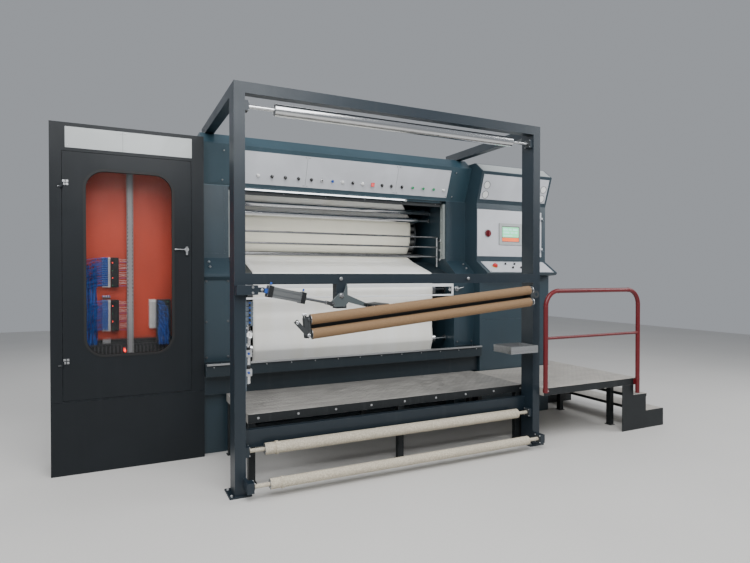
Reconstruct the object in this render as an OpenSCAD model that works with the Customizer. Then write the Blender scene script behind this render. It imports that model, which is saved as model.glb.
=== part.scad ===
// Fabric raising machine with a cloth guider, a front gantry, decks, a stair and a handrail.
// X runs across the cloth to the right, Y runs into the machine and Z is up from the floor.
// Each module is drawn from the middle of the cloth and the front face of the gantry posts.

/* [Cloth and drum] */
// Width of the cloth
cloth_w = 2000; // [1850:10:2040]
// Thickness of the cloth band as it is modelled
cloth_t = 5; // [3:1:8]
// Height of the drum axis above the floor
drum_z = 2070; // [2055:1:2080]
// Distance of the drum axis behind the posts
drum_y = 2050; // [2030:1:2090]
// Radius of the circle on which the worker rollers sit
drum_pitch_r = 300; // [285:1:306]
// Number of worker rollers on the drum
worker_count = 24; // [18:1:26]
// Diameter of one worker roller
worker_d = 60; // [50:1:64]
// Diameter of the drum shaft
drum_shaft_d = 90; // [60:1:110]
// Diameter of the chrome guide roller
chrome_d = 62; // [56:1:68]

/* [Machine body] */
// Free space from the cloth to each side frame
cloth_side_gap = 210; // [200:5:260]
// Thickness of each side frame
frame_t = 260; // [240:5:300]
// Height of the side frames
frame_h = 2431; // [2425:1:2445]
// Distance of the rear of the machine behind the posts
machine_back = 2900; // [2860:10:3000]
// Height of the drive housing at the right
housing_h = 2850; // [2830:5:2880]
// Width of the drive housing at the right
housing_w = 1000; // [990:5:1040]
// Wall thickness of the folded sheet parts
sheet = 4; // [3:1:6]

/* [Electrical cabinet] */
// Width of the cabinet
cabinet_w = 1170; // [1160:5:1240]
// Depth of the cabinet
cabinet_d = 500; // [460:10:520]
// Height of the cabinet
cabinet_h = 2810; // [2780:10:2840]
// Distance of the cabinet front behind the posts
cabinet_y = 1030; // [1020:1:1040]
// Wall thickness of the cabinet
cabinet_wall = 20; // [15:1:25]
// Width of the cabinet door
door_w = 976; // [960:1:990]
// Height of the cabinet door
door_h = 1986; // [1960:1:2000]
// Height of the seam under the cabinet door
door_z = 597; // [585:1:610]
// Thickness of both doors
door_t = 30; // [26:1:34]
// Gap round both doors
door_gap = 3; // [2:0.5:4]
// Width of the window in the cabinet door
window_w = 690; // [650:5:710]
// Height of the window in the cabinet door
window_h = 1530; // [1480:5:1550]
// Corner radius of the window
window_r = 160; // [120:5:180]
// Diameter of the hinge pins
hinge_pin_d = 8; // [6:1:9]

/* [Control beam] */
// Height of the control beam
beam_h = 476; // [460:1:490]
// Depth of the control beam from its foot to the rear
beam_d = 243; // [230:1:260]
// Forward lean of the beam face
beam_lean = 135; // [125:1:140]
// Height of the slanted beam face
beam_face_h = 365; // [355:1:375]
// Height of the control panel along the slanted face
panel_h = 305; // [290:1:310]
// Thickness of the control panel
panel_t = 4; // [3:1:6]
// Diameter of the bores for the controls
control_bore_d = 22; // [20:0.5:24]
// Outer diameter of the control bezels
bezel_d = 32; // [29:1:36]
// Pitch of the outer controls
pitch_wide = 133; // [125:1:136]
// Pitch of the middle controls
pitch_mid = 112; // [105:1:114]

/* [Gantry] */
// Height of the gantry posts
post_h = 2907; // [2907:1:2940]
// Width of a gantry post
post_w = 80; // [70:1:90]
// Depth of a gantry post
post_d = 160; // [150:1:170]
// Distance of the outer face of a post inside the outer face of the side frame
post_inset = 50; // [40:1:60]
// Height of the underside of the cross beam
cross_z = 1530; // [1525:1:1540]
// Height of the cross beam
cross_h = 80; // [70:1:90]
// Diameter of the overhead roller
overhead_d = 90; // [80:1:94]
// Diameter of the two low guide rollers
low_roller_d = 86; // [76:1:90]
// Diameter of the roller journals
journal_d = 30; // [25:1:34]

/* [Cloth guider] */
// Diameter of the two guider rollers
guider_roller_d = 74; // [68:1:78]
// Distance between the two guider rollers
guider_pitch = 100; // [96:1:106]
// Length of the guider rollers
guider_len = 1956; // [1900:2:1960]
// Tilt of the guider as it stands, in degrees
guider_tilt = 5.26; // [5:0.02:5.5]
// Distance of the guider rollers in front of the posts
guider_reach = 350; // [340:1:360]
// Side of the square cylinder barrel
barrel_w = 84; // [76:1:88]
// Length of the cylinder barrel
barrel_len = 286; // [276:1:292]
// Diameter of the piston rod
rod_d = 20; // [16:1:24]

/* [Deck, stair and handrail] */
// Height of the deck above the floor
deck_z = 540; // [520:1:545]
// Height of the deck edge
deck_edge = 70; // [60:1:80]
// Right end of the side deck
side_deck_x = 2690; // [2660:5:2720]
// Height of the handrail above the deck
rail_h = 910; // [880:5:950]
// Diameter of the handrail tube
rail_d = 42; // [38:1:45]
// Diameter of the middle rail
mid_rail_d = 27; // [22:1:32]
// Bend radius of the handrail
rail_bend_r = 150; // [120:5:180]
// Depth of one stair tread
tread_d = 270; // [250:5:290]

/* [Hidden] */
$fn = 48;

// Clearances between moving pieces
fit = 0.05;
skin_gap = 0.3;
side_play = 2;

// Main stations across the machine
opening_half = cloth_w / 2 + cloth_side_gap;
frame_outer = opening_half + frame_t;
cabinet_x0 = -frame_outer - cabinet_w;
cabinet_back = cabinet_y + cabinet_d;
housing_x1 = frame_outer + housing_w;
post_outer = frame_outer - post_inset;
post_inner = post_outer - post_w;

// Side frame front outline
frame_front_y = 1270;
frame_toe_y = 1105;
desk_drop = 150;
frame_desk_z = 1760;
bearing_depth = 60;

// Drive housing front outline
housing_face_y = 1050;
housing_nose_y = 942;
housing_nose_z = housing_h - 110;
housing_face_top = 2405;
housing_desk_z = 1756;
desk_nose_y = 852;
desk_nose_z = 1626;
desk_lip = 26;
housing_low_y = 990;
desk_angle = atan2(housing_desk_z - desk_nose_z, housing_face_y - desk_nose_y);
desk_len = norm([housing_desk_z - desk_nose_z, housing_face_y - desk_nose_y]);

// Cabinet door and its window
door_x0 = cabinet_x0 + 87;
door_x1 = door_x0 + door_w;
door_z1 = door_z + door_h;
window_left_share = 74 / 143;
window_low_share = 111 / 152;
window_x0 = door_x0 + (door_w - window_w) * window_left_share;
window_z0 = door_z + (door_h - window_h) * window_low_share;
seal_w = 20;
flange_w = 30;
hinge_off = 8.5;
hinge_low = door_z + 273;
hinge_high = door_z1 - 293;
hinge_h = 44;
plate_y = cabinet_y + 300;
plate_t = 4;
lock_x = door_x1 - 38;
lock_z = 1820;

// Door of the drive housing
house_door_x0 = frame_outer + 10;
house_door_frame = 70;
house_door_x1 = house_door_x0 + housing_w - house_door_frame;
house_door_z0 = 1812;
house_door_z1 = 2338;
screen_x = frame_outer + 475;
screen_z = 2068;
screen_w = 330;
screen_h = 246;
switch_x = frame_outer + 155;
switch_z = 2070;

// Slanted face of the control beam
beam_foot_y = 1277;
beam_foot_z = frame_h;
beam_slant = atan2(beam_lean, beam_face_h);
panel_foot = 42;
control_up = 126;
control_depth = 26;
panel_seam_left = -465;
panel_seam_right = 545;
seam = 3;
bezel_h = 8;

// Stations of the controls on the panel
group_a_x = -941;
group_b_x = -297;
group_c_x = 614;
lamp_places = [0, 7, 9, 17];
control_count = 18;
function control_x(i) = i < 5 ? group_a_x + i * pitch_wide :
    i < 13 ? group_b_x + (i - 5) * pitch_mid : group_c_x + (i - 13) * pitch_wide;

// Rollers
drum_r = drum_pitch_r + worker_d / 2;
chrome_y = 1650;
chrome_z = 2240;
top_bar_y = 1640;
top_bar_z = 2335;
top_bar_d = 66;
delivery_up_y = 1310;
delivery_up_z = 1440;
delivery_up_d = 180;
sheet_y = delivery_up_y - delivery_up_d / 2 - skin_gap - cloth_t / 2;
delivery_low_d = 120;
delivery_low_y = sheet_y + delivery_low_d / 2 + skin_gap + cloth_t / 2;
delivery_low_z = 890;
overhead_drop = 82;
overhead_z = post_h - overhead_drop;
overhead_y = 50;
front_low_y = -100;
front_low_z = 100;
rear_low_y = 50;
rear_low_z = 310;
low_roller_half = 1190;
bearing_t = 30;
bearing_w = 74;
foot_rim = 40;
foot_t = 12;
foot_hole_d = 18;

// Apron under the drum
apron_top_y = 1650;
apron_top_z = 1752;
apron_low_y = 1238;
apron_low_z = 1622;
apron_t = 6;

// Guider geometry
guider_pivot_x = 1100;
guider_pivot_z = 1432;
guider_end_x = 120;
guider_tube_w = 50;
guider_tube_h = 56;
guider_tube_y = -guider_reach + guider_roller_d / 2 + 8;
guider_tube_back = guider_tube_y + guider_tube_w;
guider_pin_d = 30;
end_plate_t = 16;
crank_x = -608;
crank_z = 1440;
crank_y = -30;
crank_t = 12;
crank_pin_d = 20;
toe_len = 250;
toe_angle = -20;
toe_d = 30;
toe_gap = 3;
rod_end_x = -684;
rod_end_z = 1379;
tail_x = -1232;
tail_z = 1492;
tail_pin_d = 16;
rod_pin_d = 12;
rod_pin_play = 6;
cylinder_angle = atan2(rod_end_z - tail_z, rod_end_x - tail_x);
cylinder_len = norm([rod_end_x - tail_x, rod_end_z - tail_z]);
barrel_start = 44;
toe_x = crank_x + toe_len * cos(toe_angle);
toe_z = crank_z + toe_len * sin(toe_angle);
stub_x0 = -636;
stub_x1 = -551;
stub_z0 = 1340;

// Deck, stair and handrail stations
deck_x0 = -1280;
deck_x1 = 1380;
deck_y0 = post_d + 40;
deck_y1 = 1030;
side_deck_y0 = -50;
side_deck_y1 = 970;
side_deck_back = 1250;
rail_x0 = frame_outer - 50;
rail_foot_drop = 35;
rail_x1 = side_deck_x - 30;
rail_y = -80;
rail_foot_z = 390;
tread_z1 = deck_z * 2 / 3;
tread_z2 = deck_z / 3;
tread_t = 30;
stair_x0 = side_deck_x - 50;
stair_x1 = stair_x0 + 190 + tread_d;
stringer_t = 8;

// Trough in front of the side frames
trough_y0 = 950;
trough_z0 = 710;
trough_z1 = 820;
skirt_y = deck_y1;

// Safety frame at the delivery
safety_half = 1170;
safety_z0 = 1375;
safety_z1 = 1507;
safety_bar = 18;
safety_top = 32;
safety_y = 1060;
safety_pivot_y = 1130;
safety_pin_d = 16;

// Middle of the bounding box, which becomes the origin
guider_front = -guider_reach - guider_roller_d / 2;
mid_x = (cabinet_x0 + stair_x1) / 2;
mid_y = (guider_front + machine_back) / 2;

// Helper shapes
module placed() {
    translate([-mid_x, -mid_y, 0]) children();
}
module block(x, y, z) {
    translate([x[0], y[0], z[0]]) cube([x[1] - x[0], y[1] - y[0], z[1] - z[0]]);
}
module rod_x(x0, x1, y, z, d) {
    translate([x0, y, z]) rotate([0, 90, 0]) cylinder(d = d, h = x1 - x0);
}
module rod_y(y0, y1, x, z, d) {
    translate([x, y0, z]) rotate([-90, 0, 0]) cylinder(d = d, h = y1 - y0);
}
module rod_z(z0, z1, x, y, d) {
    translate([x, y, z0]) cylinder(d = d, h = z1 - z0);
}
module profile_x(x0, x1, points) {
    translate([x0, 0, 0]) rotate([90, 0, 90]) linear_extrude(x1 - x0) polygon(points);
}
module round_slab(x0, w, z0, h, r, y0, y1) {
    translate([x0, y1, z0]) rotate([90, 0, 0]) linear_extrude(y1 - y0) {
        translate([r, 0]) square([w - 2 * r, h]);
        translate([0, r]) square([w, h - 2 * r]);
        for (x = [r, w - r], y = [r, h - r]) translate([x, y]) circle(r);
    }
}
module both_sides() {
    children();
    mirror([1, 0, 0]) children();
}
module on_beam_face() {
    translate([0, beam_foot_y, beam_foot_z]) rotate([90 + beam_slant, 0, 0]) children();
}
module on_desk() {
    translate([0, desk_nose_y, desk_nose_z]) rotate([desk_angle, 0, 0]) children();
}
module tilted() {
    translate([guider_pivot_x, 0, guider_pivot_z]) rotate([0, -guider_tilt, 0]) children();
}
module along_cylinder() {
    translate([tail_x, crank_y, tail_z]) rotate([0, -cylinder_angle, 0]) children();
}

// Electrical cabinet at the left
module electrical_cabinet() color("#1f2d33") placed() {
    difference() {
        block([cabinet_x0, -frame_outer], [cabinet_y, cabinet_back], [0, cabinet_h]);
        block([cabinet_x0 + cabinet_wall, -frame_outer - cabinet_wall],
            [cabinet_y + door_t + cabinet_wall, cabinet_back - cabinet_wall],
            [door_z - 20, door_z1 + 20]);
        block([door_x0 + flange_w, door_x1 - flange_w], [cabinet_y - 1, cabinet_back - cabinet_wall],
            [door_z + flange_w, door_z1 - flange_w]);
        block([door_x0 - door_gap, door_x1 + door_gap], [cabinet_y - 1, cabinet_y + door_t + door_gap],
            [door_z - door_gap, door_z1 + door_gap]);
        block([cabinet_x0 - 1, -frame_outer + 1], [cabinet_y - 1, cabinet_y + 3],
            [door_z - door_gap - 12, door_z - door_gap - 8]);
    }
    for (z = [hinge_low, hinge_high]) cabinet_hinge(z);
}
module cabinet_hinge(z) {
    block([door_x0 - 34, door_x0 - 8], [cabinet_y - 3, cabinet_y], [z, z + hinge_h / 2]);
    block([door_x0 - 12, door_x0 - 4], [cabinet_y - hinge_off - 2, cabinet_y], [z, z + hinge_h / 2]);
    rod_z(z, z + hinge_h / 2, door_x0 - 1.5, cabinet_y - hinge_off, 2 * hinge_pin_d);
    rod_z(z + hinge_h / 2, z + hinge_h, door_x0 - 1.5, cabinet_y - hinge_off, hinge_pin_d);
}
module door_knuckle(z, x, side) {
    difference() {
        union() {
            rod_z(z + hinge_h / 2 + 0.2, z + hinge_h, x, cabinet_y - hinge_off, 2 * hinge_pin_d);
            block([min(x, x + side * 12), max(x, x + side * 12)],
                [cabinet_y - hinge_off - 2, cabinet_y], [z + hinge_h / 2 + 0.2, z + hinge_h]);
        }
        rod_z(z, z + hinge_h + 1, x, cabinet_y - hinge_off, hinge_pin_d + 2 * fit);
    }
}

// Orange back plate on its stand-offs
module mounting_plate() color("#c8541e") placed() {
    block([cabinet_x0 + 60, -frame_outer - 60], [plate_y, plate_y + plate_t], [door_z + 50, door_z1 - 40]);
    for (x = [cabinet_x0 + 90, -frame_outer - 90], z = [door_z + 90, door_z1 - 90])
        rod_y(plate_y + plate_t, cabinet_back - cabinet_wall, x, z, 20);
}

// Plug-in modules with their terminal combs, a supply unit and the cable duct on the back plate
duct_w = 52;
duct_d = 60;
duct_x = door_x0 + 473;
module_x = duct_x - 193;
module_rows = [[1494, 256], [1118, 267]];
supply_x = duct_x + 180;
comb_w = 64;
narrow_comb_w = 56;
comb_pitch = 16;
module_w = 59;
module switchgear() color("#8f9496") placed() {
    block([duct_x, duct_x + duct_w], [plate_y - duct_d, plate_y], [door_z + 100, door_z1 - 90]);
    for (row = module_rows) io_module(module_x, row[0], row[1]);
    block([module_x, module_x + comb_w], [plate_y - 34, plate_y], [1400, 1412]);
    block([module_x, module_x + comb_w], [plate_y - 30, plate_y], [1010, 1044]);
    terminal_comb(supply_x, 1129, 253, narrow_comb_w);
    block([supply_x + narrow_comb_w + 4, supply_x + 175], [plate_y - 95, plate_y], [993, 1382]);
}
module io_module(x, z, h) {
    terminal_comb(x, z, h, comb_w);
    difference() {
        block([x + comb_w + 5, x + comb_w + 5 + module_w], [plate_y - 80, plate_y], [z, z + h]);
        for (i = [1:3]) block([x + comb_w + 4, x + comb_w + 6 + module_w], [plate_y - 81, plate_y - 77],
            [z + i * h / 4 - 1, z + i * h / 4 + 1]);
    }
}
module terminal_comb(x, z, h, w) {
    block([x, x + w], [plate_y - 30, plate_y], [z, z + h]);
    for (i = [0:floor(h / comb_pitch) - 1])
        block([x + 4, x + w - 2], [plate_y - 50, plate_y - 29], [z + 3 + i * comb_pitch, z + i * comb_pitch + 12]);
}

// Inner side frames that carry the drum and the rollers
module side_frame() {
    difference() {
        profile_x(opening_half, frame_outer, [[frame_front_y, frame_h], [frame_front_y, frame_desk_z],
            [frame_toe_y - 30, frame_desk_z - desk_drop], [frame_toe_y - 30, frame_desk_z - desk_drop - 24],
            [frame_toe_y, frame_desk_z - desk_drop - 60], [frame_toe_y, 0],
            [machine_back, 0], [machine_back, frame_h]]);
        rod_x(opening_half - 1, opening_half + 2 * bearing_depth, drum_y, drum_z, drum_shaft_d + 2 * fit);
        for (seat = roller_seats) rod_x(opening_half - 1, opening_half + bearing_depth, seat[0], seat[1],
            journal_d + 2 * fit);
        block([opening_half + 30, frame_outer - 30], [frame_front_y - 1, frame_front_y + 3],
            [frame_desk_z + 40, frame_desk_z + 44]);
    }
    for (y = [frame_front_y - 60, frame_front_y - 120])
        translate([(opening_half + frame_outer) / 2 + 60, y, frame_desk_z - (frame_front_y - y)
            * desk_drop / (frame_front_y - frame_toe_y + 30)])
            rotate([atan2(desk_drop, frame_front_y - frame_toe_y + 30), 0, 0]) cylinder(d = 26, h = 9);
    rod_x(safety_half - 12, opening_half, safety_pivot_y, (safety_z0 + safety_z1) / 2, safety_pin_d);
    rod_x(safety_half + side_play, opening_half, safety_pivot_y, (safety_z0 + safety_z1) / 2, 44);
    block([opening_half + 10, opening_half + 40], [frame_front_y - 3, frame_front_y], [frame_desk_z + 60, frame_h - 20]);
}
roller_seats = [[chrome_y, chrome_z], [delivery_up_y, delivery_up_z], [delivery_low_y, delivery_low_z]];
module left_side_frame() color("#26363d") placed() mirror([1, 0, 0]) side_frame();
module right_side_frame() color("#26363d") placed() side_frame();

// Drive cover behind the cabinet
module left_drive_cover() color("#22313a") placed() {
    block([-frame_outer - 480, -frame_outer], [cabinet_back + 20, machine_back - 20], [150, frame_h - 60]);
    for (z = [700, 1300, 1900])
        block([-frame_outer - 486, -frame_outer - 480], [cabinet_back + 80, machine_back - 80], [z, z + 400]);
}

// Drive housing at the right, hollow behind its door
module drive_housing() color("#26363d") placed() {
    difference() {
        profile_x(frame_outer, housing_x1, [[housing_face_y + 33, housing_h], [housing_nose_y, housing_nose_z],
            [housing_face_y, housing_face_top], [housing_face_y, housing_desk_z],
            [desk_nose_y, desk_nose_z], [desk_nose_y + 14, desk_nose_z - desk_lip],
            [housing_low_y, desk_nose_z - desk_lip - 14], [housing_low_y, 0],
            [machine_back, 0], [machine_back, housing_h]]);
        block([house_door_x0 - door_gap, house_door_x1 + door_gap],
            [housing_face_y - 1, housing_face_y + door_t + door_gap],
            [house_door_z0 - door_gap, house_door_z1 + door_gap]);
        block([house_door_x0 + flange_w, house_door_x1 - flange_w], [housing_face_y, housing_face_y + 260],
            [house_door_z0 + flange_w, house_door_z1 - flange_w]);
        block([frame_outer + 30, housing_x1 - 30], [housing_low_y - 1, housing_low_y + 3], [1100, 1104]);
        on_desk() translate([stop_x, stop_up, -30]) cylinder(d = stop_bore_d + 2, h = 31);
    }
    for (z = [house_door_z0 + 60, house_door_z1 - 104]) housing_hinge(z);
    profile_x(housing_x1 - 330, housing_x1 - 318, [[housing_low_y, desk_nose_z - desk_lip - 14],
        [desk_nose_y + 40, desk_nose_z - desk_lip - 4], [housing_low_y, desk_nose_z - 190]]);
}
module housing_hinge(z) {
    shift = housing_face_y - cabinet_y;
    translate([0, shift, 0]) {
        block([house_door_x1 + 8, house_door_x1 + 34], [cabinet_y - 3, cabinet_y], [z, z + hinge_h / 2]);
        block([house_door_x1 + 4, house_door_x1 + 12], [cabinet_y - hinge_off - 2, cabinet_y],
            [z, z + hinge_h / 2]);
        rod_z(z, z + hinge_h / 2, house_door_x1 + 1.5, cabinet_y - hinge_off, 2 * hinge_pin_d);
        rod_z(z + hinge_h / 2, z + hinge_h, house_door_x1 + 1.5, cabinet_y - hinge_off, hinge_pin_d);
    }
}

// Sloped desk plate with its small knobs
desk_plate_t = 4;
stop_bore_d = 30;
stop_x = frame_outer + 177;
stop_up = desk_len / 2 + 4;
knob_places = [[403, 0.36], [520, 0.36], [346, 0.68], [475, 0.68]];
module desk_plate() color("#aab0b3") placed() {
    on_desk() {
        difference() {
            translate([frame_outer + 50, 8, 0]) cube([housing_w - 100, desk_len - 20, desk_plate_t]);
            translate([stop_x, stop_up, -1]) cylinder(d = stop_bore_d + 2 * fit, h = desk_plate_t + 2);
        }
        for (place = knob_places) translate([frame_outer + place[0], place[1] * desk_len, desk_plate_t]) {
            cylinder(d = 26, h = 5);
            cylinder(d = 16, h = 18);
        }
    }
}

// Hollow control beam with a slanted face
beam_top = frame_h + beam_h;
module control_beam() color("#22313a") placed() {
    nose_y = beam_foot_y - beam_lean;
    nose_z = beam_foot_z + beam_face_h;
    w = sheet + 2;
    inner_y = beam_foot_y + w / cos(beam_slant);
    back_y = beam_foot_y + beam_d;
    difference() {
        profile_x(-frame_outer, frame_outer, [[beam_foot_y, beam_top], [nose_y, nose_z],
            [beam_foot_y, beam_foot_z], [back_y, beam_foot_z], [back_y, beam_top]]);
        profile_x(-frame_outer + 30, frame_outer - 30, [[beam_foot_y + 2, beam_top - w],
            [inner_y - (beam_face_h - w) * tan(beam_slant), nose_z - w],
            [inner_y - w * tan(beam_slant), beam_foot_z + w], [back_y - w, beam_foot_z + w],
            [back_y - w, beam_top - w]]);
        on_beam_face() for (i = [0:control_count - 1])
            translate([control_x(i), control_up, -w - 3])
                cylinder(d = bezel_d + 4, h = w + 6);
    }
    on_beam_face() for (x = [-opening_half - 60, opening_half + 60], y = [60, 330])
        translate([x, y, 0]) cylinder(d = 24, h = 8);
}

// Light grey control panel in three plates, with bezels and pilot lamps
module control_panel() color("#a9adb0") placed() on_beam_face() {
    edges = [-opening_half + 5, panel_seam_left, panel_seam_right, opening_half - 5];
    for (p = [0:2]) difference() {
        union() {
            translate([edges[p] + seam / 2, panel_foot, 0])
                cube([edges[p + 1] - edges[p] - seam, panel_h, panel_t]);
            for (i = [0:control_count - 1]) if (control_x(i) > edges[p] && control_x(i) < edges[p + 1])
                translate([control_x(i), control_up, panel_t])
                    cylinder(d = bezel_d, h = is_lamp(i) ? bezel_h / 2 : bezel_h);
        }
        for (i = [0:control_count - 1]) if (!is_lamp(i))
            translate([control_x(i), control_up, -1])
                cylinder(d = control_bore_d + 2 * fit, h = panel_t + bezel_h + 2);
    }
    for (i = lamp_places) translate([control_x(i), control_up, panel_t + bezel_h / 2])
        cylinder(d = control_bore_d, h = 10);
}
function is_lamp(i) = len(search(i, lamp_places)) > 0;

// Rotary selector: a round body in the panel bore with a raised bar
module selector(i) placed() on_beam_face()
    translate([control_x(i), control_up, panel_t]) {
        translate([0, 0, -control_depth]) cylinder(d = control_bore_d, h = control_depth + bezel_h + 0.3);
        translate([-4.5, -14, bezel_h + 0.3]) cube([9, 28, 14]);
    }
// Push button: a round cap in the panel bore
module button(i) placed() on_beam_face()
    translate([control_x(i), control_up, panel_t - control_depth])
        cylinder(d = control_bore_d, h = control_depth + bezel_h + 5);

module selector_1() color("#17191b") selector(1);
module selector_2() color("#17191b") selector(2);
module selector_3() color("#17191b") selector(3);
module selector_4() color("#17191b") selector(4);
module ring_button() color("#9a9d9f") button(5);
module blue_button() color("#1d3f9b") button(6);
module selector_5() color("#17191b") selector(8);
module red_button() color("#c11c22") button(10);
module selector_6() color("#17191b") selector(11);
module selector_7() color("#17191b") selector(12);
module selector_8() color("#17191b") selector(13);
module green_button_1() color("#1c8a48") button(14);
module green_button_2() color("#1c8a48") button(15);
module green_button_3() color("#1c8a48") button(16);

// Back panel with three hatches, and the roof
hatch_pitch = 2 * opening_half / 3 - 20;
module rear_cover() color("#22313a") placed() {
    block([-opening_half, opening_half], [machine_back - 20, machine_back - sheet], [160, frame_h]);
    block([-frame_outer, frame_outer], [beam_foot_y + beam_d, machine_back], [frame_h, frame_h + 20]);
    for (x = [-900, 0, 900]) block([x - 20, x + 20], [beam_foot_y + beam_d + 60, machine_back - 60],
        [frame_h + 20, frame_h + 45]);
    for (i = [-1:1]) block([i * hatch_pitch - hatch_pitch / 2 + 20, i * hatch_pitch + hatch_pitch / 2 - 20],
        [machine_back - sheet, machine_back], [300, 1300]);
}

// Bed between the side frames with the sloped apron tray
module machine_bed() color("#2a383e") placed() {
    for (y = [frame_front_y, machine_back - 160]) block([-opening_half, opening_half], [y, y + 120], [0, 160]);
    block([-opening_half, opening_half], [frame_front_y + 130, frame_front_y + 134], [160, 700]);
    apron_tray();
    block([-opening_half, opening_half], [apron_top_y - 60, apron_top_y], [apron_top_z - 150, apron_top_z - 90]);
}
module apron_tray() {
    run = apron_top_y - apron_low_y;
    rise = apron_top_z - apron_low_z;
    drop = cloth_half_t / cos(atan2(rise, run));
    low_top = apron_low_z - drop + rise * 2 / run;
    profile_x(-opening_half, opening_half, [[apron_low_y, apron_low_z - 12], [apron_low_y + 12, apron_low_z - 30],
        [apron_low_y + 18, apron_low_z - 30], [apron_low_y + 14, low_top - apron_t],
        [apron_top_y, apron_top_z - drop - apron_t], [apron_top_y, apron_top_z - 92],
        [apron_top_y + apron_t, apron_top_z - 92], [apron_top_y + apron_t, apron_top_z - drop],
        [apron_low_y + 2, low_top]]);
}

// Trough in front of the side frames with its skirt
module front_trough() color("#26353c") placed() {
    half = frame_outer - 2;
    block([-half, half], [trough_y0, trough_y0 + sheet], [trough_z0, trough_z1]);
    block([-half, half], [trough_y0, frame_toe_y], [trough_z0, trough_z0 + sheet]);
    block([-half, half], [trough_y0 - 14, trough_y0 + sheet], [trough_z1, trough_z1 + sheet]);
    both_sides() {
        block([half - sheet, half], [trough_y0, frame_toe_y], [trough_z0, trough_z1]);
        block([opening_half + 20, half], [frame_toe_y - sheet, frame_toe_y], [trough_z0 - 80, trough_z1]);
    }
    block([-half, half], [skirt_y, skirt_y + sheet], [deck_z, trough_z0]);
    block([-half, half], [skirt_y, frame_toe_y], [trough_z0 - 4 * sheet, trough_z0]);
}

// Guard bars in front of the drum, the cloth-covered top bar and the turning bar
guard_heights = [2030, 1917, 1807];
guard_y = 1400;
guard_d = 20;
guard_half = 1190;
module guard_rails() color("#4b5559") placed() {
    for (z = guard_heights) {
        rod_x(-guard_half + guard_d, guard_half - guard_d, guard_y, z, guard_d);
        both_sides() guard_end(z);
    }
    rod_x(-opening_half, opening_half, top_bar_y, top_bar_z, top_bar_d);
    rod_x(-opening_half, opening_half, turn_bar_y, turn_bar_z, turn_bar_d);
}
module guard_end(z) {
    drop = 34;
    translate([guard_half - guard_d, guard_y, z]) sphere(d = guard_d);
    rod_z(z - drop, z, guard_half - guard_d, guard_y, guard_d);
    translate([guard_half - guard_d, guard_y, z - drop]) sphere(d = guard_d);
    rod_x(guard_half - guard_d, opening_half, guard_y, z - drop, guard_d);
}

// Lamp housing under the control beam
module light_strip() color("#dfe6ea") placed() {
    profile_x(-cloth_w / 2 - 150, cloth_w / 2 + 150, [[1296, frame_h], [1302, frame_h - 22], [1334, frame_h - 22],
        [1340, frame_h]]);
}

// Cloth band: over the top bar, behind the chrome roller, round the drum, over the apron and down
function arc_points(c, r, a0, a1, n) = [for (i = [0:n]) let (a = a0 + (a1 - a0) * i / n)
    [c[0] + r * cos(a), c[1] + r * sin(a)]];
function unit(v) = v / norm(v);
function side_of(v) = [-v[1], v[0]];
function normal_at(p, i) = side_of(unit(p[min(i + 1, len(p) - 1)] - p[max(i - 1, 0)]));
function strip(p, t) = concat([for (i = [0:len(p) - 1]) p[i] + normal_at(p, i) * t / 2],
    [for (i = [len(p) - 1:-1:0]) p[i] - normal_at(p, i) * t / 2]);
cloth_half_t = cloth_t / 2 + skin_gap;
// Turning bar under the drum, which leads the cloth back over the apron
turn_bar_d = 40;
turn_bar_angle = 222;
turn_bar_reach = drum_r + turn_bar_d / 2 + 2 * cloth_half_t;
turn_bar_y = drum_y + turn_bar_reach * cos(turn_bar_angle);
turn_bar_z = drum_z + turn_bar_reach * sin(turn_bar_angle);
turn_r = turn_bar_d / 2 + cloth_half_t;
apron_edge_y = apron_top_y + 4;
cloth_leave = 200;
cloth_tail = 280;
turn_off_y = turn_bar_y - apron_edge_y;
turn_off_z = turn_bar_z - apron_top_z;
turn_end = atan2(turn_off_z, turn_off_y) - asin(turn_r / norm([turn_off_y, turn_off_z])) - 90;
cloth_path = concat(
    [[top_bar_y - 72, frame_h - 6]],
    arc_points([top_bar_y, top_bar_z], top_bar_d / 2 + cloth_half_t, 135, -10, 18),
    arc_points([chrome_y, chrome_z], chrome_d / 2 + cloth_half_t, 20, 0, 2),
    arc_points([drum_y, drum_z], drum_r + cloth_half_t, 176, turn_bar_angle, 14),
    arc_points([turn_bar_y, turn_bar_z], turn_r, turn_bar_angle - 186, turn_end, 10),
    [[apron_edge_y, apron_top_z], [apron_low_y, apron_low_z]],
    [[sheet_y + 2, apron_low_z - 70]],
    arc_points([delivery_up_y, delivery_up_z], delivery_up_d / 2 + cloth_half_t, 165, 180, 3),
    arc_points([delivery_low_y, delivery_low_z], delivery_low_d / 2 + cloth_half_t, 180, cloth_leave, 4),
    [[delivery_low_y, delivery_low_z] + (delivery_low_d / 2 + cloth_half_t) * [cos(cloth_leave), sin(cloth_leave)]
        + cloth_tail * [-sin(cloth_leave), cos(cloth_leave)]]);
module cloth_web() color("#e6dfcc") placed()
    profile_x(-cloth_w / 2, cloth_w / 2, strip(cloth_path, cloth_t));

// Drum body: core tube, end discs and shaft
disc_t = 20;
disc_x = cloth_w / 2 + 60;
module raising_drum() color("#3b4449") placed() {
    rod_x(-disc_x, disc_x, drum_y, drum_z, 2 * drum_pitch_r - worker_d - 40);
    difference() {
        both_sides() rod_x(disc_x, disc_x + disc_t, drum_y, drum_z, 2 * drum_pitch_r + worker_d - 4);
        worker_axes() translate([0, 0, -disc_x - disc_t - 1])
            cylinder(d = journal_d + 2 * fit, h = 2 * (disc_x + disc_t + 1));
    }
    rod_x(-opening_half - 2 * bearing_depth + 1, opening_half + 2 * bearing_depth - 1, drum_y, drum_z,
        drum_shaft_d);
}
module worker_axes() {
    for (i = [0:worker_count - 1]) translate([0, drum_y, drum_z]) rotate([i * 360 / worker_count, 0, 0])
        translate([0, drum_pitch_r, 0]) rotate([0, 90, 0]) children();
}
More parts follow.
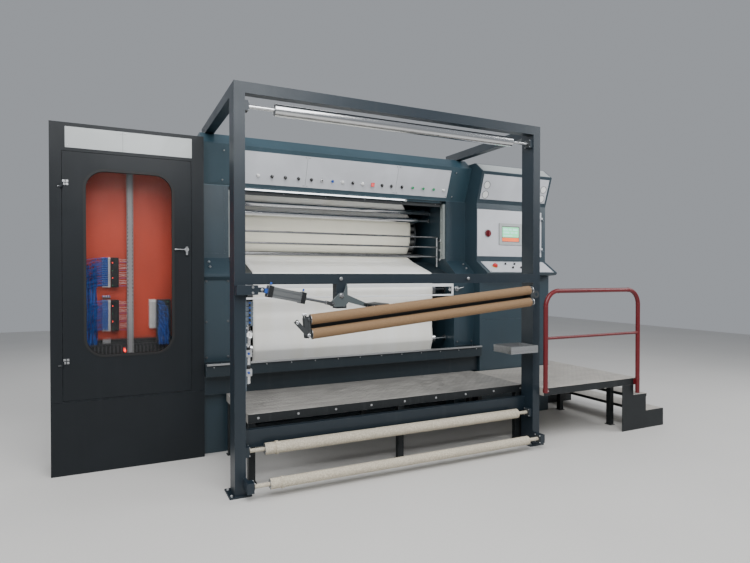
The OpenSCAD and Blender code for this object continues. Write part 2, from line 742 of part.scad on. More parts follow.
// Worker rollers in the drum discs
module worker_rollers() color("#8d8f8c") placed() worker_axes() {
    translate([0, 0, -disc_x + 1]) cylinder(d = worker_d, h = 2 * disc_x - 2);
    translate([0, 0, -disc_x - disc_t]) cylinder(d = journal_d, h = 2 * (disc_x + disc_t));
}

// A plain roller with journals that reach into its seats
module plain_roller(y, z, d, half, seat, deep) {
    rod_x(-half, half, y, z, d);
    rod_x(-seat - deep + 1, seat + deep - 1, y, z, journal_d);
}
module chrome_roller() color("#c9cdd0") placed()
    plain_roller(chrome_y, chrome_z, chrome_d, cloth_w / 2 + 50, opening_half, bearing_depth);
module upper_delivery_roller() color("#3d4549") placed()
    plain_roller(delivery_up_y, delivery_up_z, delivery_up_d, cloth_w / 2 + 40, opening_half, bearing_depth);
module lower_delivery_roller() color("#9b9fa1") placed()
    plain_roller(delivery_low_y, delivery_low_z, delivery_low_d, cloth_w / 2 + 40, opening_half, bearing_depth);
module overhead_roller() color("#c9cdd0") placed()
    plain_roller(overhead_y, overhead_z, overhead_d, post_inner - 230, post_inner - bearing_t, bearing_t);
module front_guide_roller() color("#b9a789") placed() {
    plain_roller(front_low_y, front_low_z, low_roller_d - 10, low_roller_half, post_inner - bearing_t, bearing_t);
    rod_x(-low_roller_half + 80, -low_roller_half + 100, front_low_y, front_low_z, low_roller_d);
}
module rear_guide_roller() color("#b9a789") placed() {
    plain_roller(rear_low_y, rear_low_z, low_roller_d, low_roller_half, post_inner - bearing_t, bearing_t);
    rod_x(-low_roller_half + 80, -low_roller_half + 100, rear_low_y, rear_low_z, low_roller_d + 12);
}

// Gantry: posts, beams, ties, brackets and bearing blocks
under_y0 = 112;
under_z0 = 314;
under_z1 = 444;
module gantry_frame() color("#22333c") placed() {
    both_sides() {
        block([post_inner, post_outer], [0, post_d], [0, post_h]);
        foot_plate();
        block([post_inner, post_outer], [0, beam_foot_y + 200], [post_h, post_h + 80]);
        bearing_block(overhead_y, overhead_z);
        bearing_block(rear_low_y, rear_low_z);
        bearing_block(front_low_y, front_low_z);
        block([post_inner, post_inner + 20], [front_low_y - bearing_w / 2, 0],
            [front_low_z - bearing_w / 2, front_low_z + bearing_w / 2]);
    }
    block([-post_inner, post_inner], [0, 80], [cross_z, cross_z + cross_h]);
    block([-post_inner, post_inner], [0, 80], [post_h, post_h + 80]);
    block([-post_inner, post_inner], [under_y0, post_d], [under_z0, under_z1]);
    for (x = [-600, 600]) rod_y(-8, 0, x, cross_z + cross_h / 2, 26);
    difference() {
        block([stub_x0, stub_x1], [0, 80], [stub_z0, cross_z]);
        rod_y(-1, 81, crank_x, crank_z, crank_pin_d + 2 * fit);
    }
    tail_bracket();
    pivot_bracket();
}
module foot_plate() {
    difference() {
        block([post_inner - foot_rim, post_outer + foot_rim], [-foot_rim / 2, post_d + foot_rim / 2], [0, foot_t]);
        for (x = [post_inner - foot_rim / 2, post_outer + foot_rim / 2], y = [post_d / 2 - 70, post_d / 2 + 70])
            rod_z(-1, foot_t + 1, x, y, foot_hole_d);
    }
}
module bearing_block(y, z) {
    difference() {
        block([post_inner - bearing_t, post_inner], [y - bearing_w / 2, y + bearing_w / 2],
            [z - bearing_w / 2, z + bearing_w / 2]);
        rod_x(post_inner - bearing_t - 1, post_inner, y, z, journal_d + 2 * fit);
    }
}
module tail_bracket() {
    block([-post_outer + 5, tail_x - 30], [crank_y - 30, 0], [tail_z - 34, tail_z + 34]);
    difference() {
        for (y = [crank_y - 22, crank_y + 12]) block([tail_x - 31, tail_x + 18], [y, y + 10],
            [tail_z - 18, tail_z + 18]);
        rod_y(crank_y - 30, crank_y + 30, tail_x, tail_z, tail_pin_d);
    }
    rod_y(crank_y - 24, crank_y + 24, tail_x, tail_z, tail_pin_d);
}
module pivot_bracket() {
    block([guider_pivot_x - 40, post_inner], [20, 60], [guider_pivot_z - 40, guider_pivot_z + 40]);
    rod_y(guider_tube_back + side_play, 60, guider_pivot_x, guider_pivot_z, 64);
    rod_y(guider_tube_y, guider_tube_back + side_play, guider_pivot_x, guider_pivot_z, guider_pin_d);
}

// Guider frame: cross tube, end castings, pivot eye and the shelf that rests over the crank toe
module guider_frame() color("#3a4246") placed() tilted() {
    left = -guider_end_x - guider_len - 6 - end_plate_t;
    difference() {
        union() {
            block([left, -30], [guider_tube_y, guider_tube_back], [-guider_tube_h / 2, guider_tube_h / 2]);
            rod_y(guider_tube_y, guider_tube_back, 0, 0, 64);
        }
        rod_y(guider_tube_y - 1, guider_tube_back + 1, 0, 0, guider_pin_d + 2 * fit);
    }
    for (x = [left, -guider_end_x + 6]) end_casting(x);
    tension_lever(left);
    toe_dx = toe_x - guider_pivot_x;
    toe_dz = toe_z + toe_d / 2 + toe_gap - guider_pivot_z;
    shelf_x = toe_dx * cos(guider_tilt) + toe_dz * sin(guider_tilt);
    shelf_z = toe_dz * cos(guider_tilt) - toe_dx * sin(guider_tilt);
    block([shelf_x - 45, shelf_x + 45], [guider_tube_y + 12, crank_y - 10], [shelf_z, shelf_z + 10]);
    block([shelf_x - 45, shelf_x + 45], [guider_tube_back - 12, guider_tube_back],
        [guider_tube_h / 2 - 1, shelf_z + 10]);
}
// Housing, lever and knobs of the roller tension at the left end
module tension_lever(x) {
    y = [-guider_reach - 12, -guider_reach + 30];
    difference() {
        block([x - 26, x + 1], y, [-74, 64]);
        for (s = [-1, 1]) rod_x(x - 1, x + 2, -guider_reach, s * guider_pitch / 2, 18);
    }
    for (dx = [-19, -4]) rod_z(63, 82, x + dx, y[1] - 12, 13);
    translate([x - 44, 0, -6]) rotate([0, lever_angle, 0]) {
        block([-lever_len / 2, lever_len / 2], [y[0] - 11, y[0] + 1], [-15, 15]);
        for (dx = [-lever_len / 2 + 15, lever_len / 2 - 15]) rod_y(y[0] - 17, y[0] - 10, dx, 0, 20);
    }
}
lever_len = 152;
lever_angle = 53;
module end_casting(x) {
    z = guider_pitch / 2;
    difference() {
        union() {
            block([x, x + end_plate_t], [-guider_reach - 14, guider_tube_y + 6], [-z - 20, z + 20]);
            block([x, x + end_plate_t], [guider_tube_y, guider_tube_back], [-z, z]);
            for (s = [-1, 1]) rod_x(x, x + end_plate_t, -guider_reach, s * z, 40);
        }
        for (s = [-1, 1]) rod_x(x - 1, x + end_plate_t + 1, -guider_reach, s * z, 16 + 2 * fit);
    }
}
module guider_roller(s) placed() tilted() {
    z = s * guider_pitch / 2;
    rod_x(-guider_end_x - guider_len, -guider_end_x, -guider_reach, z, guider_roller_d);
    rod_x(-guider_end_x - guider_len - 6 - end_plate_t, -guider_end_x + 6 + end_plate_t, -guider_reach, z, 16);
}
module upper_guider_roller() color("#a9825d") guider_roller(1);
module lower_guider_roller() color("#a9825d") guider_roller(-1);

// Cylinder: square barrel with end caps and a tail eye, bored for the rod
module cylinder_barrel() color("#7d8387") placed() along_cylinder() {
    difference() {
        union() {
            block([barrel_start, barrel_start + barrel_len], [-barrel_w / 2 + 3, barrel_w / 2 - 3],
                [-barrel_w / 2 + 3, barrel_w / 2 - 3]);
            for (x = [barrel_start, barrel_start + barrel_len - 34])
                block([x, x + 34], [-barrel_w / 2, barrel_w / 2], [-barrel_w / 2, barrel_w / 2]);
            block([0, barrel_start], [-11, 11], [-16, 16]);
            rod_y(-11, 11, 0, 0, 32);
            rod_x(barrel_start + barrel_len, barrel_start + barrel_len + 12, 0, 0, rod_d + 22);
        }
        rod_y(-12, 12, 0, 0, tail_pin_d + 2 * fit);
        rod_x(barrel_start + 20, barrel_start + barrel_len + 13, 0, 0, rod_d + 2 * fit);
    }
}
// Piston rod with its fork and pin
module cylinder_rod() color("#b9bdc0") placed() along_cylinder() {
    rod_x(barrel_start + 110, cylinder_len - 34, 0, 0, rod_d);
    difference() {
        block([cylinder_len - 44, cylinder_len + 12], [-crank_t / 2 - side_play - 8, crank_t / 2 + side_play + 8],
            [-14, 14]);
        block([cylinder_len - 30, cylinder_len + 13], [-crank_t / 2 - side_play, crank_t / 2 + side_play],
            [-15, 15]);
    }
    rod_y(-crank_t / 2 - side_play - 12, crank_t / 2 + side_play + 12, cylinder_len, 0, rod_pin_d);
}

// Bell crank on the hanger stub: one plate with a horn, bosses at its eyes and a round toe
crank_boss_d = 44;
rod_eye_d = 42;
toe_arm = unit([toe_x - crank_x, toe_z - crank_z]) * (toe_d / 2 - 2);
crank_outline = [[rod_end_x - 14, rod_end_z + 12], [crank_x - 30, crank_z + 8], [crank_x - 8, crank_z + 22],
    [crank_x + 18, crank_z + 24], [crank_x + 27, crank_z + 40], [crank_x + 38, crank_z + 78],
    [crank_x + 46, crank_z + 96], [crank_x + 52, crank_z + 60], [crank_x + 52, crank_z + 6],
    [toe_x - toe_arm[1], toe_z + toe_arm[0]], [toe_x + toe_arm[1], toe_z - toe_arm[0]],
    [crank_x + 58, crank_z - 52], [crank_x + 30, crank_z - 84], [crank_x - 40, crank_z - 86],
    [rod_end_x + 6, rod_end_z - 18]];
module bell_crank() color("#8f9698") placed() {
    y0 = crank_y - crank_t / 2;
    y1 = crank_y + crank_t / 2;
    difference() {
        union() {
            translate([0, y1, 0]) rotate([90, 0, 0]) linear_extrude(crank_t) polygon(crank_outline);
            rod_y(y0 - 1, -skin_gap, crank_x, crank_z, crank_boss_d);
            rod_y(y0 - 1, y1 + 1, rod_end_x, rod_end_z, rod_eye_d);
        }
        rod_y(y0 - 2, y1 + 2, rod_end_x, rod_end_z, rod_pin_d + 2 * rod_pin_play);
    }
    rod_y(y1, 79, crank_x, crank_z, crank_pin_d);
    rod_y(y0 - 60, y1 + 1, toe_x, toe_z, toe_d);
}

// Tilting safety frame before the delivery rollers
module safety_frame() color("#d8dadb") placed() {
    z = (safety_z0 + safety_z1) / 2;
    y = [safety_y, safety_y + safety_bar];
    block([-safety_half, safety_half], y, [safety_z0, safety_z0 + safety_bar]);
    block([-safety_half, safety_half], y, [safety_z1 - safety_top, safety_z1]);
    both_sides() {
        block([safety_half - safety_bar, safety_half], y, [safety_z0, safety_z1]);
        difference() {
            union() {
                block([safety_half - 8, safety_half], [safety_y, safety_pivot_y], [z - 14, z + 14]);
                rod_x(safety_half - 8, safety_half, safety_pivot_y, z, 40);
            }
            rod_x(safety_half - 9, safety_half + 1, safety_pivot_y, z, safety_pin_d + 2 * fit);
        }
    }
}

// Main deck with its edge frame and legs
module main_deck() color("#8a8a86") placed() {
    block([deck_x0, deck_x1], [deck_y0, deck_y1], [deck_z - 6, deck_z]);
    difference() {
        block([deck_x0, deck_x1], [deck_y0, deck_y1], [deck_z - deck_edge, deck_z - 6]);
        for (i = [0:3]) {
            bay = (deck_x1 - deck_x0) / 4;
            block([deck_x0 + i * bay + 8, deck_x0 + (i + 1) * bay - 8], [deck_y0 + 8, deck_y1 - 8],
                [deck_z - deck_edge - 1, deck_z - 6]);
        }
    }
    for (x = [deck_x0 + 8, (deck_x0 + deck_x1) / 2 - 25, deck_x1 - 68], y = [deck_y0 + 8, deck_y1 - 58])
        block([x, x + 50], [y, y + 50], [0, deck_z - 6]);
}
// Side deck, notched round the drive housing
module side_deck() color("#9b9a94") placed() {
    notch_x = housing_x1 + 15;
    difference() {
        union() {
            block([deck_x1, side_deck_x], [side_deck_y0, side_deck_y1], [deck_z - deck_edge, deck_z]);
            block([notch_x, side_deck_x], [side_deck_y1 - 1, side_deck_back], [deck_z - deck_edge, deck_z]);
        }
        block([post_inner, post_outer + 4], [-60, post_d + 4], [deck_z - deck_edge - 1, deck_z + 1]);
        block([deck_x1 + 60, housing_x1 - 60], [side_deck_y0 + 8, side_deck_y1 - 8],
            [deck_z - deck_edge - 1, deck_z - 6]);
    }
    for (x = [deck_x1 + 10, stair_x0 - 60], y = [side_deck_y0 + 240, side_deck_y1 - 60])
        block([x, x + 50], [y, y + 50], [0, deck_z - deck_edge]);
}
// Stair with two open treads between stringers
module stair() color("#2b3436") placed() {
    y_out = [side_deck_y0, side_deck_back];
    for (y = [y_out[0], y_out[1] - stringer_t]) translate([0, y + stringer_t, 0]) rotate([90, 0, 0])
        linear_extrude(stringer_t) polygon([[stair_x0 - 160, 0], [stair_x0 - 160, deck_z - deck_edge],
            [stair_x0, deck_z - deck_edge], [stair_x0, tread_z1], [stair_x0 + 190, tread_z1],
            [stair_x0 + 190, tread_z2], [stair_x1, tread_z2], [stair_x1, 0]]);
    y_in = [y_out[0] + stringer_t, y_out[1] - stringer_t];
    block([stair_x0, stair_x0 + tread_d - 60], y_in, [tread_z1 - tread_t, tread_z1]);
    block([stair_x0 + 190, stair_x1], y_in, [tread_z2 - tread_t, tread_z2]);
}
// Handrail: two posts, two bends, top rail, middle rail and clamps on the deck edge
module handrail() color("#9c1f24") placed() {
    top_z = deck_z + rail_h;
    rod_z(deck_z - rail_foot_drop, top_z - rail_bend_r, rail_x0, rail_y, rail_d);
    rod_z(rail_foot_z, top_z - rail_bend_r, rail_x1, rail_y, rail_d);
    rod_x(rail_x0 + rail_bend_r, rail_x1 - rail_bend_r, rail_y, top_z, rail_d);
    rail_bend(rail_x0 + rail_bend_r, top_z, 90);
    rail_bend(rail_x1 - rail_bend_r, top_z, 0);
    rod_x(rail_x0, rail_x1, rail_y, deck_z + rail_h / 2 + 15, mid_rail_d);
    block([rail_x0 - 5, rail_x0 + 45], [rail_y, side_deck_y0], [deck_z - rail_foot_drop, deck_z - 10]);
    block([rail_x1 - 25, rail_x1 + 25], [rail_y, side_deck_y0], [deck_z - deck_edge + 10, deck_z - 10]);
}
module rail_bend(x, z, start) {
    translate([x, rail_y, z - rail_bend_r]) rotate([90, 0, 0]) rotate([0, 0, start])
        rotate_extrude(angle = 90) translate([rail_bend_r, 0]) circle(d = rail_d);
}

// Air valves and regulators on the left post
module valve_panel() color("#5f7f9a") placed() {
    x = -post_inner;
    block([x, x + 8], [10, post_d - 10], [760, 1440]);
    for (z = [800, 940, 1080]) {
        block([x + 8, x + 58], [50, 100], [z + 60, z + 110]);
        rod_z(z, z + 60, x + 33, 75, 40);
        rod_z(z + 110, z + 134, x + 33, 75, 34);
    }
    for (i = [0:4]) block([x + 8, x + 62], [26, 134], [1230 + i * 36, 1230 + i * 36 + 32]);
    rod_y(20, 50, x + 33, 1165, 46);
}

// Parts tray on the right post
module parts_tray() color("#8d9194") placed() {
    x = [post_inner - 340, post_inner - 30];
    y = [-100, 150];
    z = [890, 955];
    block(x, y, [z[0], z[0] + 3]);
    for (side = [y[0], y[1] - 3]) block(x, [side, side + 3], z);
    for (side = [x[0], x[1] - 3]) block([side, side + 3], y, z);
    block([x[1], post_inner], [20, 140], [z[0], z[1] - 10]);
}

// Cabinet door with its window hole
module cabinet_door() color("#22313a") placed() {
    difference() {
        block([door_x0, door_x1], [cabinet_y, cabinet_y + door_t], [door_z, door_z1]);
        round_slab(window_x0, window_w, window_z0, window_h, window_r, cabinet_y - 1, cabinet_y + door_t + 1);
        rod_y(cabinet_y - 1, cabinet_y + door_t + 1, lock_x, lock_z, 16 + 2 * fit);
    }
    for (z = [hinge_low, hinge_high]) {
        door_knuckle(z, door_x0 - 1.5, 1);
        block([door_x0 + 2, door_x0 + 48], [cabinet_y - 4, cabinet_y], [z + hinge_h / 2 + 0.2, z + hinge_h + 20]);
    }
}
// Smoked pane in the rubber seal
module door_window() color("#3b2a24") placed()
    round_slab(window_x0 + seal_w - 8, window_w - 2 * seal_w + 16, window_z0 + seal_w - 8,
        window_h - 2 * seal_w + 16, window_r - seal_w + 8, cabinet_y + 10, cabinet_y + 15);
module window_seal() color("#101214") placed() difference() {
    round_slab(window_x0, window_w, window_z0, window_h, window_r, cabinet_y - 5, cabinet_y + door_t);
    round_slab(window_x0 + seal_w, window_w - 2 * seal_w, window_z0 + seal_w, window_h - 2 * seal_w,
        window_r - seal_w, cabinet_y - 6, cabinet_y + door_t + 1);
    round_slab(window_x0 + seal_w - 8, window_w - 2 * seal_w + 16, window_z0 + seal_w - 8,
        window_h - 2 * seal_w + 16, window_r - seal_w + 8, cabinet_y + 10, cabinet_y + 15);
}
// Turning lock of the cabinet door
module door_lock() color("#1a1c1e") placed() {
    rod_y(cabinet_y - 10, cabinet_y - 0.3, lock_x, lock_z, 36);
    rod_y(cabinet_y - 10, cabinet_y + door_t + 1, lock_x, lock_z, 16);
    block([lock_x - 8, lock_x + 8], [cabinet_y - 26, cabinet_y - 10], [lock_z - 48, lock_z + 24]);
}

// Light grey door of the drive housing
module housing_door() color("#a9adb0") placed() {
    difference() {
        block([house_door_x0, house_door_x1], [housing_face_y, housing_face_y + door_t],
            [house_door_z0, house_door_z1]);
        block([house_door_x0 + 20, house_door_x1 - 20], [housing_face_y + sheet, housing_face_y + door_t + 1],
            [house_door_z0 + 20, house_door_z1 - 20]);
        block([screen_x - screen_w / 2 + 15, screen_x + screen_w / 2 - 15],
            [housing_face_y - 1, housing_face_y + door_t], [screen_z - screen_h / 2 + 15, screen_z + screen_h / 2 - 15]);
        rod_y(housing_face_y - 1, housing_face_y + door_t, switch_x, switch_z, 20 + 2 * fit);
    }
    translate([0, housing_face_y - cabinet_y, 0]) for (z = [house_door_z0 + 60, house_door_z1 - 104]) {
        door_knuckle(z, house_door_x1 + 1.5, -1);
        block([house_door_x1 - 40, house_door_x1 - 2], [cabinet_y - 4, cabinet_y],
            [z + hinge_h / 2 + 0.2, z + hinge_h]);
    }
}
module touch_screen() color("#2c3033") placed() {
    difference() {
        block([screen_x - screen_w / 2, screen_x + screen_w / 2], [housing_face_y - 8, housing_face_y],
            [screen_z - screen_h / 2, screen_z + screen_h / 2]);
        block([screen_x - screen_w / 2 + 40, screen_x + screen_w / 2 - 40],
            [housing_face_y - 9, housing_face_y - 4], [screen_z - screen_h / 2 + 34, screen_z + screen_h / 2 - 34]);
    }
    block([screen_x - screen_w / 2 + 15.3, screen_x + screen_w / 2 - 15.3], [housing_face_y, housing_face_y + 60],
        [screen_z - screen_h / 2 + 15.3, screen_z + screen_h / 2 - 15.3]);
}
// Main switch in the housing door
module main_switch() color("#7e1a1c") placed() {
    rod_y(housing_face_y - 14, housing_face_y - 0.3, switch_x, switch_z, 74);
    rod_y(housing_face_y - 14, housing_face_y + 24, switch_x, switch_z, 20);
    block([switch_x - 9, switch_x + 9], [housing_face_y - 34, housing_face_y - 14], [switch_z - 33, switch_z + 33]);
}
// Mushroom-headed stop button on the desk
module emergency_stop() color("#c4161c") placed() on_desk() translate([stop_x, stop_up, 0]) {
    translate([0, 0, desk_plate_t + 12]) cylinder(d1 = 60, d2 = 48, h = 16);
    translate([0, 0, -14]) cylinder(d = stop_bore_d, h = desk_plate_t + 26);
}

electrical_cabinet();
mounting_plate();
switchgear();
left_side_frame();
right_side_frame();
left_drive_cover();
drive_housing();
desk_plate();
control_beam();
control_panel();
rear_cover();
machine_bed();
front_trough();
gantry_frame();
main_deck();
side_deck();
stair();
handrail();
guard_rails();
light_strip();
cloth_web();
valve_panel();
parts_tray();
cabinet_door();
door_window();
window_seal();
door_lock();
housing_door();
touch_screen();
main_switch();
emergency_stop();
raising_drum();
worker_rollers();
chrome_roller();
upper_delivery_roller();
lower_delivery_roller();
overhead_roller();
front_guide_roller();
rear_guide_roller();
guider_frame();
upper_guider_roller();
lower_guider_roller();
cylinder_barrel();
cylinder_rod();
bell_crank();
safety_frame();
selector_1();
selector_2();
selector_3();
selector_4();
ring_button();
blue_button();
selector_5();
red_button();
selector_6();
selector_7();
selector_8();
green_button_1();
green_button_2();
green_button_3();
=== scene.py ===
import math
import bpy
import bmesh
from itertools import product
from mathutils import Matrix, Vector, noise


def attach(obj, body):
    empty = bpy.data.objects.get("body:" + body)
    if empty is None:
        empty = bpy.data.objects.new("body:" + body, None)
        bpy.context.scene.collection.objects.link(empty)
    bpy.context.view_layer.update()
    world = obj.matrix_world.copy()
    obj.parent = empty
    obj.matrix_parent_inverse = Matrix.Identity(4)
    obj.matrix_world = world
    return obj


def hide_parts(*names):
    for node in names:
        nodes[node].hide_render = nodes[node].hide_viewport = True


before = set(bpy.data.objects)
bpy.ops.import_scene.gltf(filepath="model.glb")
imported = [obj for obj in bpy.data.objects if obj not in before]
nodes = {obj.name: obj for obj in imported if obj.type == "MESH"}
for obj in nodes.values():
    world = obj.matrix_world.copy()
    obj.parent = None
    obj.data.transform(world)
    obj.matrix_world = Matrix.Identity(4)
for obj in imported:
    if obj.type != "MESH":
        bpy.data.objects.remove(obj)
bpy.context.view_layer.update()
print("frame loaded:", len(nodes), "nodes")

# The frame's middle in the drawing's millimetres, which start at the cloth's middle and the posts' front faces
frameMiddle = (230, 1256.5)


def at(x, y, z):
    return Vector(((x - frameMiddle[0]) / 1000, (y - frameMiddle[1]) / 1000, z / 1000))


def linked(name, data):
    piece = bpy.data.objects.new(name, data)
    bpy.context.scene.collection.objects.link(piece)
    return piece


# Camera of the photograph, solved from its vanishing points
cameraSet = {"place": (-2.46, -5.2065, 1.60), "turn": -26.0, "pitch": -0.68, "lens": 26.3, "sensor": 36, "reach": 60}


def placeCamera():
    data = bpy.data.cameras.new("photoCamera")
    data.lens = cameraSet["lens"]
    data.sensor_width = cameraSet["sensor"]
    data.clip_end = cameraSet["reach"]
    camera = linked("photoCamera", data)
    camera.location = cameraSet["place"]
    camera.rotation_euler = (math.radians(90 + cameraSet["pitch"]), 0, math.radians(cameraSet["turn"]))
    bpy.context.scene.camera = camera


# Studio light: soft panels above, in front and at the sides, by place, target, size and power
lightSet = {
    "sky": (0.80, 0.84, 0.90), "skyStrength": 0.42,
    "panels": [
        ((-1.5, -5.0, 5.6), (0.3, 0.2, 1.2), 5.0, 520),
        ((5.8, -3.4, 4.6), (0.8, 0.3, 1.0), 3.5, 230),
        ((-6.8, -1.0, 4.4), (-1.2, 0.2, 1.2), 3.5, 190),
        ((0.0, 6.0, 5.2), (0.0, 1.0, 1.2), 4.0, 150),
    ],
}


def placeLights():
    world = bpy.data.worlds.new("softRoom")
    world.use_nodes = True
    ground = world.node_tree.nodes["Background"]
    ground.inputs["Color"].default_value = (*lightSet["sky"], 1)
    ground.inputs["Strength"].default_value = lightSet["skyStrength"]
    bpy.context.scene.world = world
    for i, (place, target, size, power) in enumerate(lightSet["panels"]):
        data = bpy.data.lights.new(f"panel{i}", "AREA")
        data.size = size
        data.energy = power
        lamp = linked(f"panel{i}", data)
        lamp.location = place
        lamp.rotation_euler = (Vector(target) - Vector(place)).to_track_quat("-Z", "Y").to_euler()


placeCamera()
placeLights()
print("camera and lights placed")


# The nodes of one tree, with a short call for each kind that the finishes share
class Nodes:
    def __init__(self, tree):
        self.tree = tree

    def add(self, kind, **values):
        node = self.tree.nodes.new(kind)
        for key, value in values.items():
            setattr(node, key, value)
        return node

    # Put another node's output, a colour or a plain value into a socket
    def feed(self, socket, value):
        if isinstance(value, bpy.types.NodeSocket):
            self.tree.links.new(value, socket)
        else:
            socket.default_value = (*value, 1) if socket.type == "RGBA" else value

    def math(self, operation, *values, clamp=False):
        node = self.add("ShaderNodeMath", operation=operation, use_clamp=clamp)
        for socket, value in zip(node.inputs, values):
            self.feed(socket, value)
        return node.outputs[0]

    def times(self, a, b, clamp=False):
        return self.math("MULTIPLY", a, b, clamp=clamp)

    def ramp(self, value, low, high, outLow=0.0, outHigh=1.0):
        node = self.add("ShaderNodeMapRange", interpolation_type="SMOOTHSTEP")
        for key, part in (("Value", value), ("From Min", low), ("From Max", high), ("To Min", outLow),
                ("To Max", outHigh)):
            self.feed(node.inputs[key], part)
        return node.outputs["Result"]

    # Of the mix node's sockets, 0 is the factor, 6 and 7 are the colours in, and 2 is the colour out
    def mix(self, factor, a, b):
        node = self.add("ShaderNodeMix", data_type="RGBA")
        for index, value in ((0, factor), (6, a), (7, b)):
            self.feed(node.inputs[index], value)
        return node.outputs[2]

    def noise(self, place, scale, detail=3.0, stretch=None, distortion=0.0):
        if stretch:
            bend = self.add("ShaderNodeMapping")
            self.feed(bend.inputs["Scale"], stretch)
            self.feed(bend.inputs["Vector"], place)
            place = bend.outputs[0]
        node = self.add("ShaderNodeTexNoise")
        for key, value in (("Vector", place), ("Scale", scale), ("Detail", detail), ("Distortion", distortion)):
            self.feed(node.inputs[key], value)
        return node.outputs["Fac"]


# Bare or brightened corners, broken up by noise
def edgeWear(b, place, radius, amount):
    bevel = b.add("ShaderNodeBevel", samples=4)
    b.feed(bevel.inputs["Radius"], radius)
    dot = b.add("ShaderNodeVectorMath", operation="DOT_PRODUCT")
    b.feed(dot.inputs[0], bevel.outputs[0])
    b.feed(dot.inputs[1], b.add("ShaderNodeNewGeometry").outputs["Normal"])
    edge = b.ramp(dot.outputs["Value"], 0.995, 0.86)
    patches = b.ramp(b.noise(place, 26.0, 4.0), 0.42, 0.62)
    return [b.times(b.times(edge, patches), amount, clamp=True)]


# Broad mottling, the runs that dust and oil leave down a wall, and fine specks
def wallGrime(b, place, scale):
    return [b.ramp(b.noise(place, scale, 5.0, distortion=0.4), 0.34, 0.68),
        b.ramp(b.noise(place, scale, 3.0, stretch=(9, 9, 0.55)), 0.54, 0.82),
        b.ramp(b.noise(place, b.times(scale, 60.0), 2.0), 0.63, 0.74)]


# Long fine scratches of brushed or rolled metal, along one axis of the piece
def brushedLines(b, place, stretch):
    bend = b.add("ShaderNodeVectorMath", operation="MULTIPLY")
    b.feed(bend.inputs[0], place)
    b.feed(bend.inputs[1], stretch)
    return [b.noise(bend.outputs[0], 1.0, 4.0), b.ramp(b.noise(bend.outputs[0], 0.12, 2.0), 0.35, 0.68)]


# Warp and weft with a raised nap over them
def nappedWeave(b, place, pitch):
    split = b.add("ShaderNodeSeparateXYZ")
    b.feed(split.inputs[0], place)
    across = b.math("SINE", b.times(split.outputs["X"], pitch))
    down = b.math("SINE", b.times(b.math("ADD", split.outputs["Z"], split.outputs["Y"]), pitch))
    nap = b.noise(place, 420.0, 5.0, stretch=(1, 0.35, 0.35))
    return [b.math("ADD", b.times(b.times(across, down), 0.25), nap), nap,
        b.ramp(b.noise(place, 1.6, 4.0, stretch=(3.0, 0.5, 0.5)), 0.3, 0.72)]


# Grain of sand castings, cork and rubber
def castGrain(b, place, scale):
    cells = b.add("ShaderNodeTexVoronoi", feature="DISTANCE_TO_EDGE")
    b.feed(cells.inputs["Vector"], place)
    b.feed(cells.inputs["Scale"], scale)
    return [b.noise(place, scale, 6.0), b.ramp(cells.outputs["Distance"], 0.0, 0.16)]


# A shader group: fill takes the place and the inputs, and returns the outputs in their order
def newGroup(name, fill, inputs, outputs):
    tree = bpy.data.node_groups.new(name, "ShaderNodeTree")
    inputs = {"Place": (0, 0, 0), **inputs}
    for label, value in inputs.items():
        kind = "NodeSocketVector" if isinstance(value, tuple) else "NodeSocketFloat"
        tree.interface.new_socket(label, in_out="INPUT", socket_type=kind).default_value = value
    for label in outputs:
        tree.interface.new_socket(label, in_out="OUTPUT", socket_type="NodeSocketFloat")
    b = Nodes(tree)
    enter, leave = b.add("NodeGroupInput"), b.add("NodeGroupOutput")
    for label, value in zip(outputs, fill(b, *[enter.outputs[key] for key in inputs])):
        b.feed(leave.inputs[label], value)
    return tree


groups = {name: newGroup(name, *parts) for name, parts in {
    "edgeWear": (edgeWear, {"Radius": 0.004, "Amount": 0.5}, ("Mask",)),
    "grime": (wallGrime, {"Scale": 3.0}, ("Mottle", "Runs", "Specks")),
    "brushLines": (brushedLines, {"Stretch": (2, 200, 200)}, ("Lines", "Streaks")),
    "napWeave": (nappedWeave, {"Pitch": 700.0}, ("Height", "Nap", "Shade")),
    "grain": (castGrain, {"Scale": 120.0}, ("Grain", "Cells")),
}.items()}

plainSockets = {"rough": "Roughness", "metal": "Metallic", "coat": "Coat Weight", "coatRough": "Coat Roughness",
    "sheen": "Sheen Weight", "sheenRough": "Sheen Roughness", "shine": "Specular IOR Level",
    "through": "Transmission Weight", "ior": "IOR", "seen": "Alpha", "glow": "Emission Strength",
    "glowColor": "Emission Color"}


class Finish(Nodes):
    def __init__(self, name, **plain):
        self.material = bpy.data.materials.new(name)
        self.material.use_nodes = True
        super().__init__(self.material.node_tree)
        self.tree.nodes.clear()
        self.shader = self.add("ShaderNodeBsdfPrincipled")
        self.feed(self.add("ShaderNodeOutputMaterial").inputs[0], self.shader.outputs[0])
        self.place = self.add("ShaderNodeTexCoord").outputs["Object"]
        for key, value in plain.items():
            self.set(plainSockets[key], value)

    def set(self, name, value):
        self.feed(self.shader.inputs[name], value)

    def group(self, name, **values):
        node = self.add("ShaderNodeGroup", node_tree=groups[name])
        for key, value in {"Place": self.place, **values}.items():
            self.feed(node.inputs[key], value)
        return node.outputs

    # Relief with its depth in millimetres
    def bump(self, height, depth, strength):
        node = self.add("ShaderNodeBump")
        for key, value in (("Distance", depth / 1000), ("Strength", strength), ("Height", height)):
            self.feed(node.inputs[key], value)
        self.set("Normal", node.outputs[0])


def shade(color, share, lift=0.0):
    return tuple(c * share + lift for c in color)


